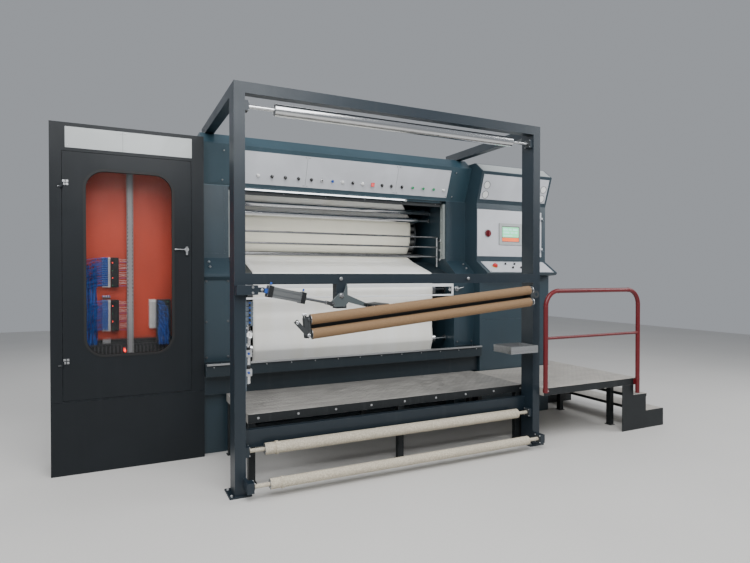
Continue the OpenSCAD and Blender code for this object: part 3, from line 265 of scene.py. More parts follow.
def paintFinish(name, base, worn, rough, dust, wear, shine=0.5, texture=0.12):
    f = Finish(name, coat=shine / 2, coatRough=0.25, shine=shine)
    grime = f.group("grime", Scale=2.2)
    edge = f.group("edgeWear", Radius=0.004, Amount=wear)["Mask"]
    dusty = shade(base, 0.55, 0.10)
    runs = f.times(grime["Runs"], dust)
    body = f.mix(f.times(grime["Mottle"], 0.35), base, shade(base, 0.62))
    body = f.mix(runs, body, dusty)
    body = f.mix(f.times(grime["Specks"], dust), body, dusty)
    f.set("Base Color", f.mix(edge, body, worn))
    f.set("Roughness", f.ramp(f.math("ADD", grime["Mottle"], runs), 0.0, 1.4, rough + 0.04, rough + 0.16))
    f.bump(f.noise(f.place, 260.0), texture, 0.4)
    return f.material


def metalFinish(name, base, rough, stretch=(3, 260, 260), stain=0.25):
    f = Finish(name, metal=1.0)
    lines = f.group("brushLines", Stretch=stretch)
    stains = f.times(f.group("grime", Scale=5.0)["Mottle"], stain)
    body = f.mix(f.times(lines["Streaks"], 0.35), base, shade(base, 0.66))
    f.set("Base Color", f.mix(stains, body, shade(base, 0.5)))
    f.set("Roughness", f.ramp(f.math("ADD", lines["Lines"], stains), 0.2, 1.2, max(rough - 0.08, 0.04), rough + 0.2))
    f.bump(lines["Lines"], 0.04, 0.35)
    return f.material


def castFinish(name, base, rough, scale, depth, metal=0.0, tint=None, cells=0.0):
    f = Finish(name, metal=metal)
    grain = f.group("grain", Scale=scale)
    grime = f.group("grime", Scale=4.0)
    body = f.mix(f.ramp(grain["Grain"], 0.35, 0.7), tint or shade(base, 0.6), base)
    if cells:
        body = f.mix(f.times(f.math("SUBTRACT", 1.0, grain["Cells"]), cells), body, shade(base, 0.4))
    f.set("Base Color", f.mix(f.times(grime["Mottle"], 0.3), body, shade(base, 0.7)))
    f.set("Roughness", f.ramp(grain["Grain"], 0.2, 0.8, rough - 0.06, rough + 0.12))
    f.bump(grain["Grain"], depth, 0.4)
    return f.material


# On the drum, between these heights in metres, the cloth is painted cream: a painted reflection of the light on the
# drum, not a colour of the cloth
paintedReflectionZone = {"lower": (1.78, 1.80), "upper": (2.21, 2.25), "share": 0.75}


def clothFinish(name, base, dark, paintedReflection):
    f = Finish(name, rough=0.92, sheen=0.35, sheenRough=0.45)
    weave = f.group("napWeave", Pitch=900.0)
    split = f.add("ShaderNodeSeparateXYZ")
    f.feed(split.inputs[0], f.place)
    height = split.outputs["Z"]
    # Painted reflection: between the heights of the zone the cloth takes the cream tint
    zone = f.times(f.ramp(height, *paintedReflectionZone["lower"]), f.ramp(height, *paintedReflectionZone["upper"], 1.0, 0.0))
    body = f.mix(f.times(weave["Shade"], 0.45), f.mix(f.times(zone, paintedReflectionZone["share"]), base, paintedReflection), dark)
    f.set("Base Color", f.mix(f.ramp(weave["Nap"], 0.3, 0.75, 0.0, 0.30), body, dark))
    f.bump(weave["Height"], 0.9, 0.45)
    return f.material


def treadFinish(name, base, worn, scuff):
    f = Finish(name, metal=0.35)
    grime = f.group("grime", Scale=7.0)
    edge = f.group("edgeWear", Radius=0.003, Amount=0.9)["Mask"]
    scratch = f.noise(f.place, 46.0, 6.0, stretch=(1.0, 9.0, 1.0), distortion=0.6)
    lanes = f.noise(f.place, 9.0, 4.0, stretch=(0.35, 2.2, 1.0))
    body = f.mix(f.ramp(lanes, 0.3, 0.7), base, worn)
    body = f.mix(f.times(grime["Mottle"], 0.25), body, shade(base, 0.72))
    body = f.mix(f.times(f.ramp(scratch, 0.52, 0.66), scuff), body, shade(worn, 1.5))
    f.set("Base Color", f.mix(edge, body, (0.55, 0.55, 0.54)))
    f.set("Roughness", f.ramp(grime["Mottle"], 0.0, 1.0, 0.62, 0.46))
    f.bump(f.noise(f.place, 120.0, 5.0), 0.5, 0.4)
    return f.material


def plasticFinish(name, base, rough, glow=0.0):
    f = Finish(name, coat=0.3, coatRough=0.15, glow=glow, glowColor=base)
    fine = f.noise(f.place, 900.0)
    stains = f.times(f.group("grime", Scale=12.0)["Mottle"], 0.3)
    f.set("Base Color", f.mix(stains, base, shade(base, 0.7)))
    f.set("Roughness", f.ramp(fine, 0.3, 0.7, rough - 0.05, rough + 0.08))
    f.bump(fine, 0.06, 0.3)
    return f.material


def glassFinish(name, base, rough, seen):
    f = Finish(name, metal=0.0, through=1.0, ior=1.5, seen=seen)
    smear = f.noise(f.place, 7.0, 5.0, stretch=(1, 1, 0.3))
    f.set("Base Color", f.mix(f.ramp(smear, 0.35, 0.7), base, shade(base, 0.86)))
    f.set("Roughness", f.ramp(smear, 0.3, 0.75, rough, rough + 0.05))
    return f.material


# Colour, worn colour, roughness, dust, wear, and where they differ shine and texture
paints = {
    "cabinetPaint": ((0.005, 0.008, 0.011), (0.07, 0.09, 0.10), 0.48, 0.02, 0.3, 0.26),
    "valveMetal": ((0.10, 0.13, 0.16), (0.4, 0.4, 0.4), 0.4, 0.12, 0.4),
    "machinePaint": ((0.017, 0.038, 0.053), (0.15, 0.18, 0.20), 0.36, 0.06, 0.4),
    "beamPaint": ((0.026, 0.062, 0.084), (0.16, 0.20, 0.23), 0.32, 0.05, 0.35),
    "gantryPaint": ((0.008, 0.017, 0.026), (0.12, 0.14, 0.16), 0.38, 0.06, 0.45, 0.4),
    "troughPaint": ((0.012, 0.021, 0.028), (0.18, 0.19, 0.20), 0.40, 0.08, 0.6, 0.35),
    "railPaint": ((0.13, 0.006, 0.010), (0.24, 0.04, 0.04), 0.34, 0.05, 0.4, 0.36),
    "stairPaint": ((0.010, 0.013, 0.015), (0.14, 0.14, 0.14), 0.5, 0.12, 0.7, 0.3),
    "greyPanel": ((0.60, 0.62, 0.66), (0.70, 0.71, 0.73), 0.34, 0.04, 0.15, 0.5, 0.04),
    "trimGrey": ((0.030, 0.034, 0.036), (0.3, 0.3, 0.3), 0.45, 0.04, 0.3, 0.35),
    "trimLight": ((0.44, 0.47, 0.47), (0.62, 0.62, 0.60), 0.32, 0.10, 0.3, 0.5, 0.03),
    "orangePlate": ((0.62, 0.062, 0.022), (0.55, 0.15, 0.07), 0.42, 0.03, 0.2),
    "safetyWhite": ((0.78, 0.79, 0.80), (0.80, 0.80, 0.80), 0.28, 0.03, 0.2, 0.5, 0.03),
    "barGrey": ((0.27, 0.30, 0.29), (0.45, 0.45, 0.44), 0.4, 0.08, 0.5, 0.5, 0.04),
    "barrelGrey": ((0.115, 0.122, 0.125), (0.45, 0.46, 0.46), 0.36, 0.06, 0.6, 0.5, 0.03),
    "crankGreen": ((0.070, 0.088, 0.094), (0.40, 0.42, 0.42), 0.40, 0.08, 0.8),
}
# Colour, roughness, and where they differ the stretch of the brushed lines and the stain
metals = {
    "deckTear": ((0.46, 0.45, 0.43), 0.34, (40, 40, 40), 0.4),
    "sideTear": ((0.58, 0.57, 0.54), 0.38, (40, 40, 40), 0.3),
    "steel": ((0.52, 0.53, 0.54), 0.30),
    "brightSteel": ((0.72, 0.73, 0.74), 0.18, (2, 320, 320), 0.10),
    "chrome": ((0.80, 0.81, 0.83), 0.08, (1.5, 60, 60), 0.06),
    "aluminium": ((0.66, 0.67, 0.68), 0.34, (4, 240, 240), 0.18),
    "guardSteel": ((0.26, 0.265, 0.27), 0.26, (2, 300, 300), 0.2),
    "darkSteel": ((0.17, 0.18, 0.19), 0.36, (3, 180, 180), 0.3),
}
# Colour, roughness, scale and depth of the grain, and where they differ metal, second colour and cells
castings = {
    "casting": ((0.060, 0.066, 0.070), 0.48, 190.0, 0.7, 0.4),
    "cork": ((0.29, 0.180, 0.092), 0.84, 230.0, 0.7, 0.0, (0.19, 0.112, 0.055), 0.45),
    "sleeve": ((0.60, 0.55, 0.44), 0.74, 90.0, 0.4, 0.0, (0.42, 0.37, 0.28)),
    "rubber": ((0.004, 0.0045, 0.005), 0.62, 500.0, 0.1),
    "cardWire": ((0.30, 0.30, 0.29), 0.42, 700.0, 1.2, 0.9),
}
# Colour, worn or dark colour, then the painted cream reflection on the drum's cloth or the scuffs of the treads
cloths = {"napCloth": ((0.95, 0.95, 0.93), (0.83, 0.80, 0.68), (0.93, 0.89, 0.72))}
treads = {
    "deckTread": ((0.27, 0.26, 0.245), (0.38, 0.365, 0.34), 0.35),
    "sideTread": ((0.47, 0.44, 0.40), (0.56, 0.53, 0.48), 0.2),
}
# Colour, roughness, and where a piece glows its strength
plastics = {
    "yellowPlastic": ((0.72, 0.42, 0.02), 0.36),
    "redLens": ((0.85, 0.10, 0.10), 0.22, 0.5),
    "screenGlow": ((0.22, 0.80, 0.42), 0.25, 0.9),
    "screenBand": ((0.95, 0.16, 0.04), 0.25, 0.9),
    "screenText": ((0.45, 0.90, 0.80), 0.25, 0.9),
    "screenEdge": ((0.20, 0.20, 0.195), 0.35),
    "blackPlastic": ((0.010, 0.011, 0.012), 0.3),
    "greyPlastic": ((0.33, 0.34, 0.35), 0.4),
    "whitePlastic": ((0.84, 0.85, 0.84), 0.35),
    "redPlastic": ((0.62, 0.012, 0.018), 0.28),
    "darkRed": ((0.16, 0.010, 0.018), 0.34),
    "greenPlastic": ((0.015, 0.33, 0.12), 0.28),
    "bluePlastic": ((0.02, 0.09, 0.42), 0.3),
    "wireDark": ((0.012, 0.045, 0.25), 0.45),
    "wireBlue": ((0.035, 0.15, 0.60), 0.4),
    "redGlow": ((1.0, 0.03, 0.02), 0.3, 6.0),
    "whiteGlow": ((0.95, 0.97, 1.0), 0.3, 3.0),
}
# Colour, roughness and opacity
glasses = {"smokedGlass": ((0.72, 0.66, 0.64), 0.02, 0.34)}
finishes = {name: make(name, *values) for make, table in ((paintFinish, paints), (metalFinish, metals),
    (castFinish, castings), (clothFinish, cloths), (treadFinish, treads), (plasticFinish, plastics),
    (glassFinish, glasses)) for name, values in table.items()}
print("finishes:", len(finishes))


# Axes in millimetres with their origin and first two directions; the third points out of the face
def axesAt(origin, first, second):
    third = Vector(first).cross(Vector(second))
    turn = Matrix([[v[row] / 1000 for v in (first, second, third)] for row in range(3)]).to_4x4()
    turn.translation = at(*origin)
    return turn


# Axes of a front face that runs back by one length and up by the other
def slantedFace(origin, back, up):
    return axesAt(origin, (1, 0, 0), Vector((0, back, up)).normalized())


# A point and a direction given in the axes of turn
def spot(turn, x, y, z):
    return turn @ Vector((x, y, z))


def way(turn, x=0, y=0, z=1):
    return (turn.to_3x3() @ Vector((x, y, z))).normalized()


# The same places on both sides of the middle
def both(*values):
    return [side * value for side in (-1, 1) for value in values]


# Cosine and sine of four directions a right angle apart
def quarters(start):
    return [(math.cos(a), math.sin(a)) for a in (math.radians(start + 90 * k) for k in range(4))]


toFront, toRear, upward = (0, -1, 0), (0, 1, 0), (0, 0, 1)
guiderTilt = math.radians(5.26)
barrelLean = math.atan2(1379 - 1492, -684 + 1232)
drawnAxes = axesAt((0, 0, 0), (1, 0, 0), (0, 1, 0))
frontAxes = axesAt((0, 0, 0), (1, 0, 0), (0, 0, 1))
beamAxes = slantedFace((0, 1277, 2431), -135, 365)
deskAxes = slantedFace((0, 852, 1626), 198, 130)
slantAxes = slantedFace((0, 1050, 2405), -108, 335)
topAxes = slantedFace((0, 942, 2740), 141, 110)
guiderAxes = axesAt((1100, 0, 1432), (math.cos(guiderTilt), 0, math.sin(guiderTilt)), toRear)
barrelAxes = axesAt((-1232, -30, 1492), (math.cos(barrelLean), 0, math.sin(barrelLean)),
    (-math.sin(barrelLean), 0, math.cos(barrelLean)))


def rounding(piece, width, angle=34):
    mod = piece.modifiers.new("rounding", "BEVEL")
    mod.width = width / 1000
    mod.segments = 2
    mod.limit_method = "ANGLE"
    mod.angle_limit = math.radians(angle)
    mod.use_clamp_overlap = True
    mod.harden_normals = True


# Slot of a piece by its first finish, where the piece names no other
slotOf = {"steel": "bright_steel", "chrome": "chrome_tube", "blackPlastic": "black_plastic", "casting": "cast_dark",
    "greyPanel": "grey_panel", "trimLight": "grey_panel", "sideTread": "side_deck_plate"}
# Outline of a screw head as shares of its radius
screwOutline = ((0, 1), (0.25, 1), (0.62, 0.78), (0.72, 0.42), (0.3, 0.36), (0.3, 0))


# One piece of trim: shapes in millimetres are added to its mesh, and done puts it on its body
class Build:
    def __init__(self, name, *materials, body="machine", slot=None, soften=0.0, angle=34):
        self.name, self.body, self.materials = name, body, materials
        self.slot, self.soften, self.angle = slot or slotOf[materials[0]], soften, angle
        self.mesh = bmesh.new()

    # A block in the axes of turn
    def slab(self, lo, hi, mat=0, turn=frontAxes):
        lo, hi = Vector(lo), Vector(hi)
        fit = Matrix.Translation((lo + hi) / 2) @ Matrix.Diagonal((*(hi - lo), 1))
        for v in bmesh.ops.create_cube(self.mesh, size=1.0, matrix=turn @ fit)["verts"]:
            for face in v.link_faces:
                face.material_index = mat

    def circle(self, centre, side, other, radius, sides):
        return [self.mesh.verts.new(centre + (side * math.cos(a) + other * math.sin(a)) * radius / 1000)
            for a in (2 * math.pi * k / sides for k in range(sides))]

    # Faces between rings of vertices, with a lid on each end that isn't a point
    def skin(self, rings, mat, closed=False):
        corners = [(low[k - 1], low[k], high[k], high[k - 1]) for low, high
            in zip(rings, rings[1:] + rings[:1] if closed else rings[1:]) for k in range(len(low))]
        if not closed:
            corners += [ring for ring in (rings[0][::-1], rings[-1]) if ring[0] != ring[1]]
        for loop in corners:
            self.mesh.faces.new(list(dict.fromkeys(loop))).material_index = mat

    # A part turned about an axis, by an outline of (distance, radius)
    def turned(self, start, axis, outline, mat=0, sides=24, hollow=False):
        axis = Vector(axis).normalized()
        side = axis.orthogonal().normalized()
        rings = []
        for along, radius in outline:
            centre = start + axis * along / 1000
            rings.append(self.circle(centre, side, axis.cross(side), radius, sides) if radius
                else [self.mesh.verts.new(centre)] * sides)
        self.skin(rings, mat, hollow)

    # A turned part with a hole: its outline is closed
    def ring(self, start, axis, outline, mat=0, sides=24):
        self.turned(start, axis, outline, mat, sides, True)

    # A round bar along points
    def tube(self, points, radius, mat=0, sides=10):
        up, rings = None, []
        for i, point in enumerate(points):
            run = (points[min(i + 1, len(points) - 1)] - points[max(i - 1, 0)]).normalized()
            up = (run.orthogonal() if up is None else up - run * up.dot(run)).normalized()
            rings.append(self.circle(point, up, run.cross(up), radius, sides))
        self.skin(rings, mat)

    # A plate cut from an outline in the axes of turn, between two heights over them
    def plate(self, outline, low, high, turn, mat=0):
        self.skin([[self.mesh.verts.new(spot(turn, x, y, z)) for x, y in outline] for z in (low, high)], mat)

    # Hexagon head on a washer
    def bolt(self, place, axis, across, mat=0):
        r = across / 2
        self.turned(place, axis, [(0, r * 1.5), (2, r * 1.5), (2.4, r * 1.42)], mat, 20)
        self.turned(place, axis, [(2.4, r * 1.12), (2.4 + r * 0.75, r * 1.12), (2.4 + r * 0.95, r * 0.92)], mat, 6)

    def bolts(self, places, axis, across, mat=0):
        for place in places:
            self.bolt(at(*place), axis, across, mat)

    # Domed screw heads with a socket, on a face of turn
    def screws(self, places, radius, mat=0, turn=frontAxes):
        for place in places:
            self.turned(spot(turn, *place), way(turn), [(radius * along, radius * r) for along, r in screwOutline],
                mat, 14)

    def done(self, faceOutward=True):
        if faceOutward:
            bmesh.ops.recalc_face_normals(self.mesh, faces=self.mesh.faces)
        data = bpy.data.meshes.new(self.name)
        self.mesh.to_mesh(data)
        self.mesh.free()
        for name in self.materials:
            data.materials.append(finishes[name])
        for face in data.polygons:
            face.use_smooth = True
        data.set_sharp_from_angle(angle=math.radians(self.angle))
        piece = linked(self.name, data)
        if self.soften:
            rounding(piece, self.soften)
        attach(piece, self.body)


# Finish of every node that stays as it is
nodeFinish = {
    "cabinetPaint": ["electrical_cabinet", "cabinet_door"],
    "machinePaint": ["left_side_frame", "right_side_frame", "left_drive_cover", "drive_housing", "rear_cover"],
    "beamPaint": ["control_beam", "light_strip"],
    "gantryPaint": ["gantry_frame"],
    "troughPaint": ["front_trough", "machine_bed"],
    "stairPaint": ["stair"],
    "railPaint": ["handrail"],
    "orangePlate": ["mounting_plate"],
    "greyPlastic": ["switchgear"],
    "greyPanel": ["housing_door", "control_panel", "desk_plate"],
    "barrelGrey": ["cylinder_barrel"],
    "deckTread": ["main_deck"],
    "sideTread": ["side_deck"],
    "brightSteel": ["overhead_roller", "lower_delivery_roller"],
    "guardSteel": ["guard_rails"],
    "steel": ["parts_tray", "door_lock"],
    "darkSteel": ["cylinder_rod", "raising_drum", "upper_delivery_roller"],
    "casting": ["guider_frame"],
    "crankGreen": ["bell_crank"],
    "safetyWhite": ["safety_frame"],
    "chrome": ["chrome_roller", "ring_button"],
    "cardWire": ["worker_rollers"],
    "cork": ["upper_guider_roller", "lower_guider_roller"],
    "sleeve": ["front_guide_roller", "rear_guide_roller"],
    "smokedGlass": ["door_window"],
    "rubber": ["window_seal"],
    "screenEdge": ["touch_screen"],
    "blackPlastic": [f"selector_{i}" for i in range(1, 9)],
    "darkRed": ["main_switch"],
    "redPlastic": ["emergency_stop", "red_button"],
    "bluePlastic": ["blue_button"],
    "greenPlastic": ["green_button_1", "green_button_2", "green_button_3"],
    "valveMetal": ["valve_panel"],
}
# Nodes with rounded edges, by the width in millimetres
softNodes = {
    5: ["drive_housing"],
    4: ["electrical_cabinet", "cabinet_door", "left_side_frame", "right_side_frame", "control_beam",
        "left_drive_cover"],
    3: ["gantry_frame", "housing_door"],
    2.5: ["guider_frame"],
    2: ["cylinder_barrel", "touch_screen", "rear_cover"],
    1.5: ["front_trough", "main_deck", "side_deck", "stair", "safety_frame", "bell_crank"],
    1: ["switchgear", "desk_plate", "parts_tray"],
}
nodeEdges = {"weldReach": 0.00001, "angle": 30}


def dressNodes():
    for finish, names in nodeFinish.items():
        for place in (place for name in names for place in nodes[name].material_slots):
            place.link = "OBJECT"
            place.material = finishes[finish]
    for width, names in softNodes.items():
        for name in names:
            nodes[name].modifiers.new("weld", "WELD").merge_threshold = nodeEdges["weldReach"]
            rounding(nodes[name], width, nodeEdges["angle"])


dressNodes()
print("nodes dressed:", sum(len(names) for names in nodeFinish.values()))

# Bare plates, screws and inner parts of the electrical cabinet
cabinetSet = {
    "plateX": (-2530, -1570), "plateZ": (2612, 2778), "plateSeam": -2113, "screwInset": 18,
    "lock": (-1706, 1820), "hingeZ": (870, 2290), "hingeX": (-2541, -2517), "modules": ((1494, 256), (1118, 267)),
    "combs": ((-2273.5, -2208.5, 1494, 256), (-2273.5, -2208.5, 1118, 267), (-1900.5, -1843.5, 1129, 253)),
    "wireRadius": 1.4, "wiresPerModule": 15, "supplyWires": 28, "led": (-2100, 944), "duct": (-2500, -1600),
}


def cabinetTrim():
    b = Build("cabinet_nameplate", "trimLight", "steel", "darkSteel", soften=0.8)
    (x0, x1), (z0, z1), seam = cabinetSet["plateX"], cabinetSet["plateZ"], cabinetSet["plateSeam"]
    inset = cabinetSet["screwInset"]
    b.slab((x0, z0, -1030), (x1, z1, -1027.5))
    b.slab((seam - 1.2, z0, -1027.5), (seam + 1.2, z1, -1027.2), 2)
    b.screws(product((x0 + inset, seam - inset, seam + inset, x1 - inset), (z0 + inset, z1 - inset), (-1027.5,)),
        5, 1)
    b.done()
    b = Build("lock_lever", "steel", body="door_lock", soften=1)
    x, z = cabinetSet["lock"]
    b.slab((x, z - 4, -1018), (x + 96, z + 4, -1012))
    b.turned(at(x, 1018, z), toFront, [(0, 7.5), (6, 7.5), (6.8, 6), (6.8, 0)], 0, 20)
    b.done()
    b = Build("hinge_screws", "steel", body="cabinet_door")
    for z, x, up in product(cabinetSet["hingeZ"], cabinetSet["hingeX"], (31, 55)):
        b.slab((x - 9, z + up - 9, -1027), (x + 9, z + up + 9, -1024.6))
        b.screws([(x, z + up, -1024.6)], 4.2)
    b.done()
    b = Build("frame_screws", "steel")
    b.screws(product((-2580, -2568), [z + 11 for z in cabinetSet["hingeZ"]], (-1027,)), 3.6)
    b.screws(product((2425, 2437), (1883, 2245), (-1047,)), 3.6)
    b.done()


def cabinetWires():
    b = Build("cabinet_wires", "whitePlastic", "wireBlue", "redGlow", "steel", "wireDark", slot="black_plastic")
    white, blue, lit, metal, dark = range(5)
    terminal = [(0, 3), (1.2, 3), (1.6, 2)]
    r, count = cabinetSet["wireRadius"], cabinetSet["wiresPerModule"]
    for (z0, tall), k in product(cabinetSet["modules"], range(count)):
        z = z0 + 12 + k * (tall - 26) / (count - 1)
        drop = 6 * math.sin(k * 1.7)
        b.tube([at(x, y, z + dz) for x, y, dz in ((-2146, 1262, 0), (-2132, 1256, drop * 0.3), (-2112, 1258, drop),
            (-2092, 1266, drop * 0.6), (-2078, 1278, 0))], r, white if k % 4 else blue, 6)
        b.turned(at(-2232, 1279, z), toFront, terminal, metal, 8)
        for n in range(3):
            reach, sag = 52 + 22 * ((k * 3 + n * 2) % 5), 6 + 9 * ((k + n) % 3)
            b.tube([at(x, y, z + n * 5 + h) for x, y, h in ((-2228, 1276 - n * 3, 0), (-2262, 1266 - n * 5, 2),
                (-2276 - reach * 0.5, 1274 - n * 5, -sag * 0.5), (-2276 - reach, 1296, -sag - 14),
                (-2280 - reach, 1314, -sag - 80))], r * (1.4 + 0.3 * n), dark if (k * 3 + n) % 4 == 1 else blue, 6)
    for k in range(26):
        x, y = -2318 - (k % 13) * 10, 1318 - (k // 13) * 10
        b.tube([at(x + 4 * math.sin(n * 0.9 + k), y, 1000 + n * 38) for n in range(14 + (k * 5) % 6)], 4.2,
            dark if k % 3 == 1 else blue, 7)
    for k in range(cabinetSet["supplyWires"]):
        z, reach = 1139 + k * 8.7, 26 + 12 * (k % 6)
        b.tube([at(x, y, z + dz) for x, y, dz in ((-1846, 1274, 0), (-1838 + reach * 0.3, 1222, -2),
            (-1846 + reach, 1214, -16), (-1838 + reach, 1220, -60))], r * 1.6, dark if k % 3 == 1 else blue, 6)
        b.turned(at(-1872, 1279, z), toFront, terminal, metal, 8)
    for k in range(11):
        b.tube([at(-1826 + k * 8 + 4 * math.sin(n + k), 1222, 990 + n * 22) for n in range(9 + (k * 3) % 7)], 3.8,
            dark if k % 3 else blue, 7)
    for k in range(7):
        b.slab((-2273 + k * 9, 1412.5, -1296), (-2266 + k * 9, 1424, -1264), white if k % 2 else blue)
    x, z = cabinetSet["led"]
    b.turned(at(x, 1296, z), toFront, [(0, 9), (10, 9), (10.1, 6), (16, 5.8), (20, 3)], lit, 16)
    b.done()


def moduleTrim():
    b = Build("module_faces", "whitePlastic", "blackPlastic", "greenPlastic", "redGlow", slot="switch_grey",
        soften=0.5)
    for z0, tall in cabinetSet["modules"]:
        b.slab((-2204.5, z0 - 0.5, -1330), (-2144.5, z0 + tall + 0.5, -1249), 1)
        for k in range(4):
            z = z0 + k * tall / 4
            b.slab((-2200, z + 8, -1249), (-2149, z + tall / 4 - 4, -1246), 1)
            b.slab((-2196, z + 14, -1246), (-2190, z + 20, -1245), 2 + k % 2)
    for x0, x1, z0, tall in cabinetSet["combs"]:
        b.slab((x0, z0 - 0.5, -1330), (x1, z0 + tall + 0.5, -1299.4))
        for k in range(int(tall // 16)):
            b.slab((x0 + 4, z0 + 2.6 + k * 16, -1300), (x1 - 2, z0 + 12.4 + k * 16, -1279.4))
    b.done()
    b = Build("duct_slots", "blackPlastic")
    for k, x in product(range(55), (-2076, -2038)):
        b.slab((x, 712 + k * 32, -1270), (x + 6, 730 + k * 32, -1269.4))
    b.done()
    b = Build("lower_duct", "trimGrey", "darkSteel", slot="switch_grey", soften=1)
    x0, x1 = cabinetSet["duct"]
    b.slab((x0, 700, -1334), (x1, 1000, -1296))
    b.slab((x0, 1000, -1334), (x1, 1046, -1322))
    b.slab((x0, 996, -1300), (x1, 1002, -1290), 1)
    for k in range(30):
        b.slab((x0 + 10 + k * 30, 900, -1296), (x0 + 22 + k * 30, 985, -1295.4), 1)
    b.done()
    b = Build("supply_face", "darkSteel", "greenPlastic", "steel", "trimGrey", slot="cast_dark", soften=0.6)
    b.slab((-1844.5, 992.4, -1330), (-1724.5, 1382.6, -1234.4), 3)
    for k in range(9):
        b.slab((-1828, 1180 + k * 18, -1235), (-1740, 1186 + k * 18, -1234))
    b.slab((-1828, 1020, -1235), (-1740, 1064, -1228))
    b.screws(((-1818 + k * 17, 1042, -1228) for k in range(5)), 4.5, 2)
    b.turned(at(-1752, 1235, 1362), toFront, [(0, 4), (3, 4), (4, 2)], 1, 12)
    b.done()


cabinetTrim()
cabinetWires()
moduleTrim()
print("cabinet dressed")

# Control panel: rings, lenses, caps and pointers, at places counted from the left
controlSet = {"up": 126, "ring": 19.5, "lens": 15.6, "cap": 14.4, "screw": 4.6, "lamps": (0, 7, 9, 17),
    "selectors": (1, 2, 3, 4, 8, 11, 12, 13), "redButton": 10,
    "screwX": (-1188, -484, -446, 526, 564, 1188), "screwUp": (56, 333)}
controlPlaces = [start + pitch * i for start, pitch, count in ((-941, 133, 5), (-297, 112, 8), (614, 133, 5))
    for i in range(count)]
buttonCaps = (("ring_button", 5, "chrome", "chrome_tube"), ("blue_button", 6, "bluePlastic", "blue_plastic"),
    *((f"green_button_{n}", 13 + n, "greenPlastic", "green_plastic") for n in (1, 2, 3)))
pointerHalf = [(-2.6, -18), (-5.6, -15), (-7.6, 0), (-5.6, 15), (-2.6, 18)]


def panelTrim():
    b = Build("panel_rings", "chrome", "whitePlastic", "darkSteel")
    out, up, r, c = way(beamAxes), controlSet["up"], controlSet["ring"], controlSet["lens"]
    for i, x in enumerate(controlPlaces):
        tall = 4.6 if i in controlSet["lamps"] else 8.4
        b.ring(spot(beamAxes, x, up, 4), out, [(0, r), (1.4, r), (tall * 0.6, r - 0.5), (tall + 0.2, r - 2.2),
            (tall + 0.2, 15.2), (tall * 0.5, 16.2), (0.2, 16.2)], 0, 28)
        if i in controlSet["lamps"]:
            b.turned(spot(beamAxes, x, up, 7.9), out, [(0, c), (9.5, c), (12.5, c * 0.88), (14.5, c * 0.6),
                (15.2, 0)], 1)
    b.screws(product(controlSet["screwX"], controlSet["screwUp"], (4,)), controlSet["screw"], 2, beamAxes)
    b.done()


def selectorFaces():
    out, up = way(beamAxes), controlSet["up"]
    for n, i in enumerate(controlSet["selectors"], 1):
        x = controlPlaces[i]
        b = Build(f"selector_{n}_face", "blackPlastic", "whitePlastic", body=f"selector_{n}")
        b.turned(spot(beamAxes, x, up, 12.7), out, [(0, 14.2), (0.2, 15.8), (3.6, 15.8), (4.8, 14.2), (4.8, 0)],
            0, 28)
        b.plate([(x + side * p, up + side * q) for side in (1, -1) for p, q in pointerHalf], 15.2, 26.6, beamAxes)
        b.slab((x - 1.1, up + 3, 26.5), (x + 1.1, up + 16.5, 27.2), 1, beamAxes)
        b.done()


def buttonTrim():
    out, up, c = way(beamAxes), controlSet["up"], controlSet["cap"]
    for name, i, finish, slot in buttonCaps:
        b = Build(f"{name}_cap", finish, "blackPlastic", body=name, slot=slot)
        b.turned(spot(beamAxes, controlPlaces[i], up, 16.8), out, [(0, c), (3.4, c), (4.8, c * 0.9), (5, c * 0.72),
            (4.2, c * 0.5), (4, 0)], 0, 28)
        if name == "ring_button":
            b.turned(spot(beamAxes, controlPlaces[i], up, 20.9), out, [(0, 7.2), (0.6, 7.2), (0.9, 6)], 1, 20)
        b.done()
    x = controlPlaces[controlSet["redButton"]]
    b = Build("red_button_cap", "redPlastic", "redLens", body="red_button", slot="red_plastic", soften=1.2)
    b.slab((x - 19.5, up - 20.5, 17), (x + 19.5, up + 20.5, 24), 0, beamAxes)
    b.slab((x - 16.5, up - 17.5, 24), (x + 16.5, up + 17.5, 26.2), 1, beamAxes)
    b.done()


panelTrim()
selectorFaces()
buttonTrim()
print("control panel dressed")

# Drive housing: slanted plate with bare round badges, strip, desk knobs and screen face
housingSet = {
    "plateX": (1500, 2440), "plateUp": (46, 322), "badgeX": (1562, 2378), "badgeUp": (98, 205),
    "strip": (1486, 2454), "deskX": 1470, "deskLength": math.hypot(130, 198),
    "knobs": ((403, 0.36), (520, 0.36), (346, 0.68), (475, 0.68)), "stopX": 1647, "switch": (1625, 2070),
    "screen": (1828, 2034),
    "rims": ((1781, 2109, 1946, 1976), (1781, 2109, 2160, 2190), (1781, 1817, 1976, 2160), (2073, 2109, 1976, 2160)),
    "fields": ((14, 78, 60, 20), (90, 78, 40, 20), (150, 78, 66, 20), (14, 44, 84, 18), (120, 44, 40, 18),
        (176, 44, 40, 18), (14, 12, 120, 10)),
}


def housingTrim():
    b = Build("housing_plates", "greyPanel", "trimLight", "steel", soften=0.6)
    (x0, x1), (u0, u1), (s0, s1) = housingSet["plateX"], housingSet["plateUp"], housingSet["strip"]
    b.slab((x0, u0, 0), (x1, u1, 2.6), 0, slantAxes)
    b.slab((s0, 14, 0), (s1, 166, 2.4), 1, topAxes)
    b.screws(product((x0 + 14, (x0 + x1) / 2, x1 - 14), (u0 + 12, u1 - 12), (2.6,)), 4.4, 2, slantAxes)
    b.screws(((x, 90, 2.4) for x in (s0 + 20, s1 - 20)), 5, 2, topAxes)
    b.done()
    b = Build("housing_dials", "darkSteel", "whitePlastic", slot="black_plastic")
    out = way(slantAxes)
    for x, up in product(housingSet["badgeX"], housingSet["badgeUp"]):
        b.ring(spot(slantAxes, x, up, 2.6), out, [(0, 44), (2, 44), (3, 42), (3, 38.5), (0.2, 38)], 0, 40)
        b.turned(spot(slantAxes, x, up, 2.4), out, [(0, 38.2), (1.4, 38.2), (2, 32), (2, 0)], 1, 40)
    b.done()


